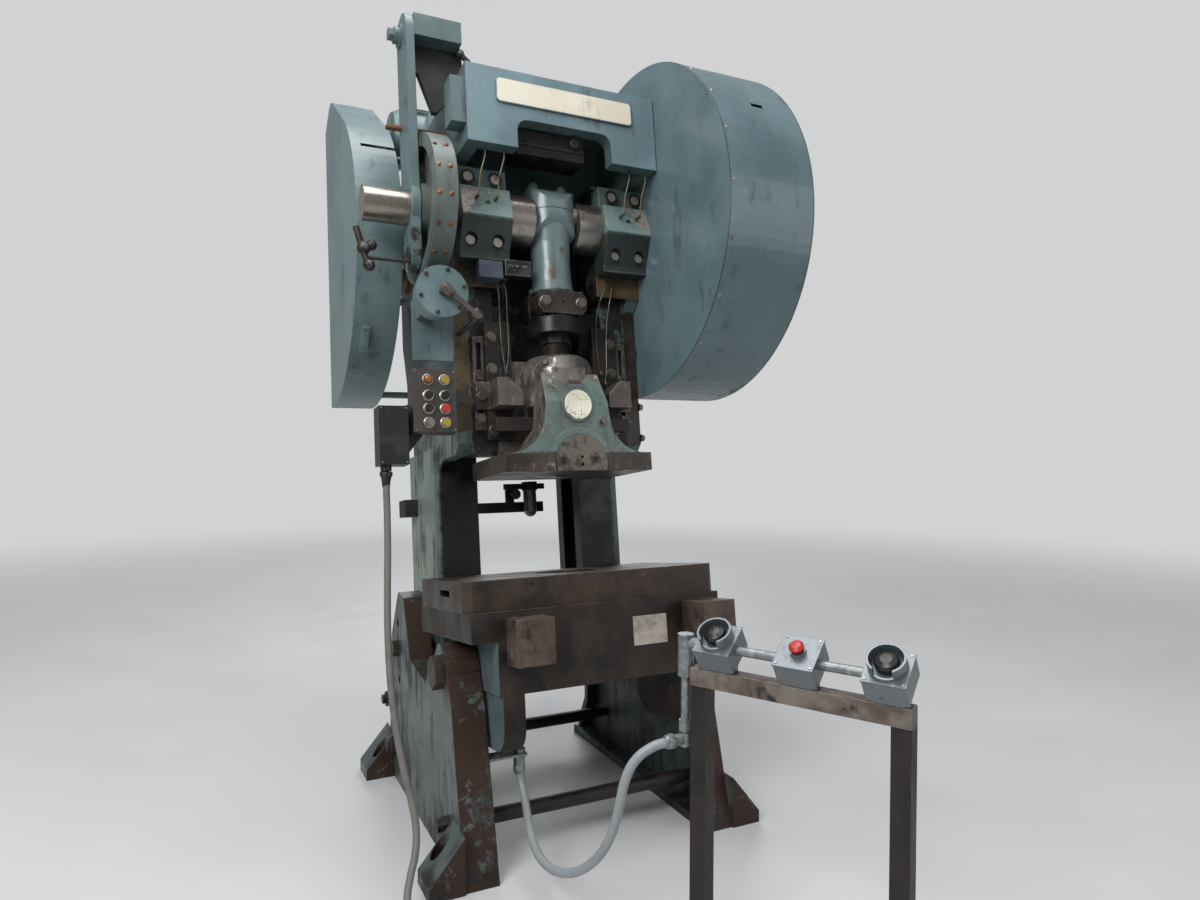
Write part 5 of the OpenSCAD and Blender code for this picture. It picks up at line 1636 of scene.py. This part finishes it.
@dataclass
class Ram(SubAssembly):
    """The ram with its shank clamp and round medallion."""

    body: str = "ram"
    plate: Tuple[Flat, Flat] = ((-27, 708), (27, 727))
    plate_middle: Point = (0, 103.5, 717)
    plate_tilt: float = -28
    zones: Tuple[Zone, ...] = (
        Zone(
            SKIRT_GREEN, (-150, None, 430), (200, 175, 730),
            soft=16, ragged=60, facing=(0.2, -1, 0),
        ),
        Zone(SKIRT_GREEN, (-310, None, 430), (-100, 150, 520), soft=10, ragged=24, broken=0.3),
        Zone(SKIRT_GREEN, (100, None, 430), (310, 150, 520), soft=10, ragged=24, broken=0.3),
        Zone(
            BROWN_IRON, (None, None, 300), (None, None, 447),
            soft=6, ragged=14, part=0.9, broken=0.12,
        ),
    )
    clamp_zones: Tuple[Zone, ...] = (
        Zone(MACHINE, OPEN, (None, 83, None), soft=1, ragged=0),
    )

    def build(self) -> None:
        """Dress the ram and add the medallion, the bare plate, the oil hole and a bolt."""
        self.dress(["ram"], RAM_STEEL, self.zones, rounding=6)
        self.dress(["shank_clamp"], CLAMP_IRON, self.clamp_zones, rounding=3)
        outline = [(0, 2.6), (49, 2.6), (51, 3.6), (54.5, 3.6), (56, 2.4), (56, -0.5), (0, -0.5)]
        self.keep(Bench.turned("ram_medallion", outline, (0, 86, 628), steps=56), MEDALLION)
        corners = rounded(*self.plate, radius=2, steps=2)
        strip = Bench.outline("ram_plate", corners, thick=1.6, matrix=front_face(0))
        turn = Matrix.Rotation(math.radians(self.plate_tilt), 4, "X")
        down = Matrix.Translation((0, 0, -self.plate_middle[2]))
        tilt = Matrix.Translation(self.plate_middle) @ turn @ down
        self.keep(Bench.fix(strip, tilt), BROWN_IRON)
        outline = [(0, 1), (7, 1), (7, 2.6), (10, 2.6), (11.5, 1), (11.5, -3), (0, -3)]
        way = (-0.64, -0.76, 0.1)
        hole = Bench.turned("ram_oil_hole", outline, (-92, 165.5, 806), way, steps=20)
        self.keep(hole, BLACK_OIL)
        outline = [(0, -2), (16, -2), (16, 3), (15, 4), (0, 4)]
        washer = Bench.turned("washer", outline, (104, 92, 566), steps=24)
        head = Bench.nut("head", (104, 88, 566), FORWARD, across=25, high=9)
        self.keep(Bench.join([washer, head], "ram_bolt"), MACHINE)


@dataclass
class Knockout(SubAssembly):
    """The knock-out bar through the ram."""

    body: str = "knockout"

    def build(self) -> None:
        """Dress the bar."""
        self.dress(["knockout_bar"], DARK_IRON, rounding=4)


@dataclass
class Gibs(SubAssembly):
    """Gib plates, slotted stop bars, stop blocks, their bolts, and the oil lines beside them."""

    washers: Tuple[Point, ...] = (
        (262, 300, 560), (262, 300, 800), (262, 300, 925), (312, 308, 605), (312, 308, 773),
    )
    lines: Tuple[Tuple[Point, ...], ...] = (
        (
            (-262, 268, 1205), (-238, 262, 1120), (-226, 284, 1000),
            (-222, 290, 900), (-212, 292, 800), (-208, 299, 752),
        ),
        (
            (-240, 268, 1205), (-210, 258, 1130), (-196, 282, 1010),
            (-192, 290, 920), (-196, 292, 840), (-206, 299, 790),
        ),
        (
            (262, 268, 1205), (222, 260, 1130), (200, 284, 1040),
            (196, 290, 940), (200, 292, 860), (210, 299, 800),
        ),
        (
            (285, 268, 1205), (262, 262, 1130), (246, 284, 1010),
            (240, 290, 900), (234, 292, 800), (228, 299, 756),
        ),
    )
    zones: Tuple[Zone, ...] = (
        Zone(OCHRE, (None, None, 500), (-225, None, 1000), soft=12, ragged=30, broken=0.45),
    )

    def build(self) -> None:
        """Dress the plates and add washers and oil lines."""
        self.dress(["gib_plates"], DARK_IRON, self.zones, rounding=2)
        self.dress(["stop_bars"], STOP_BAR, rounding=2)
        self.dress(["stop_blocks"], STOP_BLOCK, rounding=3)
        self.dress(["frame_bolts"], MACHINE, rounding=1.5)
        outline = [(10.5, -0.4), (22, -0.4), (22, 2.2), (20.8, 3), (10.5, 3), (10.5, -0.4)]
        ring = Bench.turned("ring", outline, steps=28)
        spots = [(side * x, y, z) for x, y, z in self.washers for side in (-1, 1)]
        self.keep(Bench.scatter(ring, spots, "bolt_washers"), MACHINE)
        tubes = [Bench.pipe(f"line_{i}", points, diameter=5) for i, points in enumerate(self.lines)]
        self.keep(Bench.join(tubes, "gib_oil_lines"), MACHINE)
        ends = []
        for i, points in enumerate(self.lines):
            ends.append(Bench.nut(f"end_{i}", points[-1], (0, -1, -0.3), across=17, high=12))
        self.keep(Bench.join(ends, "oil_line_nuts"), MACHINE)


@dataclass
class OilTank(SubAssembly):
    """The dark tank in the crown's arch."""

    def build(self) -> None:
        """Dress the tank and add its filler and strap."""
        self.dress(["oil_reservoir"], BLACK_OIL, rounding=5)
        outline = [(0, -6), (16, -6), (16, 4), (22, 4), (22, 14), (18, 18), (0, 18)]
        filler = Bench.turned("filler", outline, (58, 117, 1684), steps=24)
        strap = Bench.block("strap", (-186, 112, 1648), (96, 117.4, 1660), ease=1)
        self.keep(Bench.join([filler, strap], "tank_fittings"), DARK_IRON)


@dataclass
class GearGuard(SubAssembly):
    """The large round guard over the main gear and clutch."""

    radius: float = 697
    screw_x: float = 424
    screw_angles: Tuple[float, ...] = (118, 134, 150, 166, 183, 200, 217, 234, 251)
    seams: Tuple[Zone, ...] = (
        Zone(BLACK_OIL, (406.4, None, None), (410.2, None, None), soft=0.8, ragged=1.5, part=0.9),
        Zone(BLACK_OIL, (784.6, None, None), (787.4, None, None), soft=0.8, ragged=1.5, part=0.7),
    )

    def build(self) -> None:
        """Dress the sheet metal with its dark seams and add the screws of the rim."""
        # The darker enamel on the gear guard is painted shade; the dark seams are the guard's own
        # joints.
        self.dress(["gear_guard_side", "gear_guard_rim"], SHADED_GEAR_GREEN, self.seams, rounding=1.5)
        outline = [(0, 4), (3.6, 3.4), (6, 1.5), (6.4, 0), (8, 0), (8, -1.6), (0, -1.6)]
        dome = Bench.turned("dome", outline, way=UP, steps=16)
        moves = [round_crank(self.screw_x, a, self.radius) for a in self.screw_angles]
        self.keep(Bench.repeat(dome, moves, "rim_screws"), BRIGHT)


@dataclass
class FlywheelGuard(SubAssembly):
    """The guard over the flywheel and belts, open at the back."""

    def build(self) -> None:
        """Dress the sheet metal."""
        self.dress(["flywheel_guard"], GUARD_GREEN, rounding=1.5)


@dataclass
class Drive(SubAssembly):
    """Main gear, clutch, back shaft, flywheel, motor, sheave and belts.

    The motor has no fins where its foot and its terminal box are.
    """

    motor: Point = (0, 1010, 2050)
    fins: int = 28

    def build(self) -> None:
        """Dress the drive and add the motor's fins."""
        for node, finish, rounding in (
            ("main_gear", BLACK_OIL, 0), ("air_clutch", CLUTCH, 2), ("backshaft", SHAFT, 1),
            ("flywheel", FLYWHEEL_GREEN, 3), ("motor", GREEN, 2), ("motor_sheave", DARK_IRON, 1),
            ("drive_belts", RUBBER, 0),
        ):
            self.dress([node], finish, rounding=rounding)
        fin = Bench.block("fin", (-400, -2, 136), (-100, 2, 152), ease=1, steps=1)
        moves = []
        for k in range(self.fins):
            a = 2 * math.pi * k / self.fins
            foot = math.sin(a) < -0.45
            terminal_box = math.cos(a) < -0.6 and abs(math.sin(a)) < 0.5
            if foot or terminal_box:
                continue
            turn = Matrix.Rotation(a - math.pi / 2, 4, "X")
            moves.append(Matrix.Translation(self.motor) @ turn)
        self.keep(Bench.repeat(fin, moves, "motor_fins"), GREEN)


@dataclass
class ControlPanel(SubAssembly):
    """Push-button box and the black junction box behind it."""

    columns: Flat = (-557, -497)
    rows: Tuple[float, ...] = (718, 660, 613, 563)
    lid_x: Flat = (-604, -463)
    lid_z: Flat = (536, 749)
    box_x: Flat = (-726, -640)
    box_z: Flat = (422, 612)

    def build(self) -> None:
        """Dress the boxes and their devices, and add device rings, a pilot lens and screws."""
        self.dress(["control_box"], PANEL, rounding=2)
        for node, finish in (
            ("button_key", YELLOW_PLASTIC), ("button_black", BLACK_PLASTIC),
            ("button_red", RED_PLASTIC), ("button_yellow", YELLOW_PLASTIC),
            ("selector_top", BLACK_PLASTIC), ("selector_middle", BLACK_PLASTIC),
            ("selector_low", BRIGHT),
        ):
            self.dress([node], finish, rounding=0.8)
        self.dress(["junction_box"], BLACK_PAINT, rounding=2)
        outline = [
            (17.1, 0), (20.5, 0), (20.5, 2.5), (17.1, 4.8),
            (12.2, 4.8), (12.2, 4.1), (17.1, 4.1), (17.1, 0),
        ]
        ring = Bench.turned("tag", outline, steps=28)
        spots = [(x, 150, z) for z in self.rows for x in self.columns]
        self.keep(Bench.scatter(ring, spots, "device_rings"), BRIGHT)
        outline = [(13.2, 0), (13.8, 0), (13.8, 5), (12.6, 11), (9, 14.2), (4, 15.4), (0, 15.6)]
        self.keep(Bench.turned("pilot_lens", outline, (-557, 144, 718), steps=28), AMBER)
        outline = [(0, 2.2), (3.4, 1.8), (4.2, 0), (4.2, -1), (0, -1)]
        screw = Bench.turned("screw", outline, steps=14)
        spots = [(x, 150, z) for x in self.lid_x for z in self.lid_z]
        spots += [(x, 144, z) for x in self.box_x for z in self.box_z]
        self.keep(Bench.scatter(screw, spots, "panel_screws"), BRIGHT)


@dataclass
class AirUnit(SubAssembly):
    """Air rails and filter bowl behind the throat."""

    zones: Tuple[Zone, ...] = (
        Zone(ZINC, (60, 920, 240), (170, 972, 366), soft=2, ragged=0),
    )

    def build(self) -> None:
        """Dress the unit and add its gauge."""
        self.dress(["air_unit"], DARK_IRON, self.zones, rounding=2)
        outline = [
            (0, -2), (22, -2), (24, 0), (24, 14), (22, 17), (20, 17), (20, 15), (0, 15),
        ]
        gauge = Bench.turned("air_gauge", outline, (60, 970, 350), steps=28)
        self.keep(gauge, BLACK_PAINT)


@dataclass
class Legs(SubAssembly):
    """Two cast legs with their tie rods, pivot bolts and lock bolts."""

    body: str = "base"
    place: Place = Place.FLOOR
    zones: Tuple[Zone, ...] = (
        Zone(LEG_FRONT, ragged=0, facing=(0, -1, 0.3)),
        Zone(BED_IRON, OPEN, (None, None, -930), soft=25, ragged=50, broken=0.2),
    )

    def build(self) -> None:
        """Dress the legs, the tie rods and the bolts."""
        self.dress(["left_leg", "right_leg"], LEG_GREEN, self.zones, rounding=6)
        self.dress(["tie_rods"], DARK_IRON, rounding=2)
        self.dress(["pivot_bolts", "lock_bolts"], BROWN_IRON, rounding=3)


@dataclass
class TwoHandStand(SubAssembly):
    """The two-hand stand with its three sloping boxes and conduit."""

    body: str = "base"
    place: Place = Place.STAND
    stations: Tuple[float, ...] = (85, 320, 550)
    tilt: float = 35
    deck: Flat = (20, 900)
    lid_corner: Point = (46, 46, 36)
    zones: Tuple[Zone, ...] = (
        Zone(RAIL, (None, None, 785), soft=1, ragged=0, broken=0.1, floor=True),
    )

    def station(self, x: float) -> Matrix:
        """The tilted frame of one box, in millimetres."""
        tilt = Matrix.Rotation(math.radians(self.tilt), 4, "X")
        return Matrix.Translation((x, *self.deck)) @ tilt

    def build(self) -> None:
        """Dress the stand and add the screws of the lids."""
        self.dress(["stand_frame"], POST, self.zones, rounding=2)
        self.dress(["station_boxes"], GREY_BOX, rounding=2)
        self.dress(["rigid_conduit"], ZINC, rounding=1.5)
        self.dress(["palm_button_left", "palm_button_right"], BLACK_PLASTIC, rounding=1)
        self.dress(["stop_button"], RED_PLASTIC, rounding=1)
        outline = [(0, 2.4), (3.4, 2), (4.4, 0), (4.4, -1), (0, -1)]
        screw = Bench.turned("screw", outline, way=UP, steps=14)
        across, along, high = self.lid_corner
        corners = [(a, b, high) for a in (-across, across) for b in (-along, along)]
        moves = [self.station(x) @ Matrix.Translation(c) for x in self.stations for c in corners]
        self.keep(Bench.repeat(screw, moves, "lid_screws"), BRIGHT)


def main() -> None:
    """Build every sub-assembly in order."""
    logging.basicConfig(level=logging.INFO, format="%(name)s: %(message)s")
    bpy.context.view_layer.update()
    Bench.clear()
    Viewpoint().build()
    FlexibleConduit().build()
    SupplyCable().build()
    Studio().build()
    for assembly in (
        MainFrame(), Bearings(), Crankwork(), Brake(), HangerArm(), ConnectingRod(), Ram(),
        Knockout(), Gibs(), OilTank(), GearGuard(), FlywheelGuard(), Drive(), ControlPanel(),
        AirUnit(), Legs(), TwoHandStand(),
    ):
        assembly.build()
        log.info("%s: %d pieces", type(assembly).__name__, len(assembly.made))


if __name__ == "__main__":
    main()
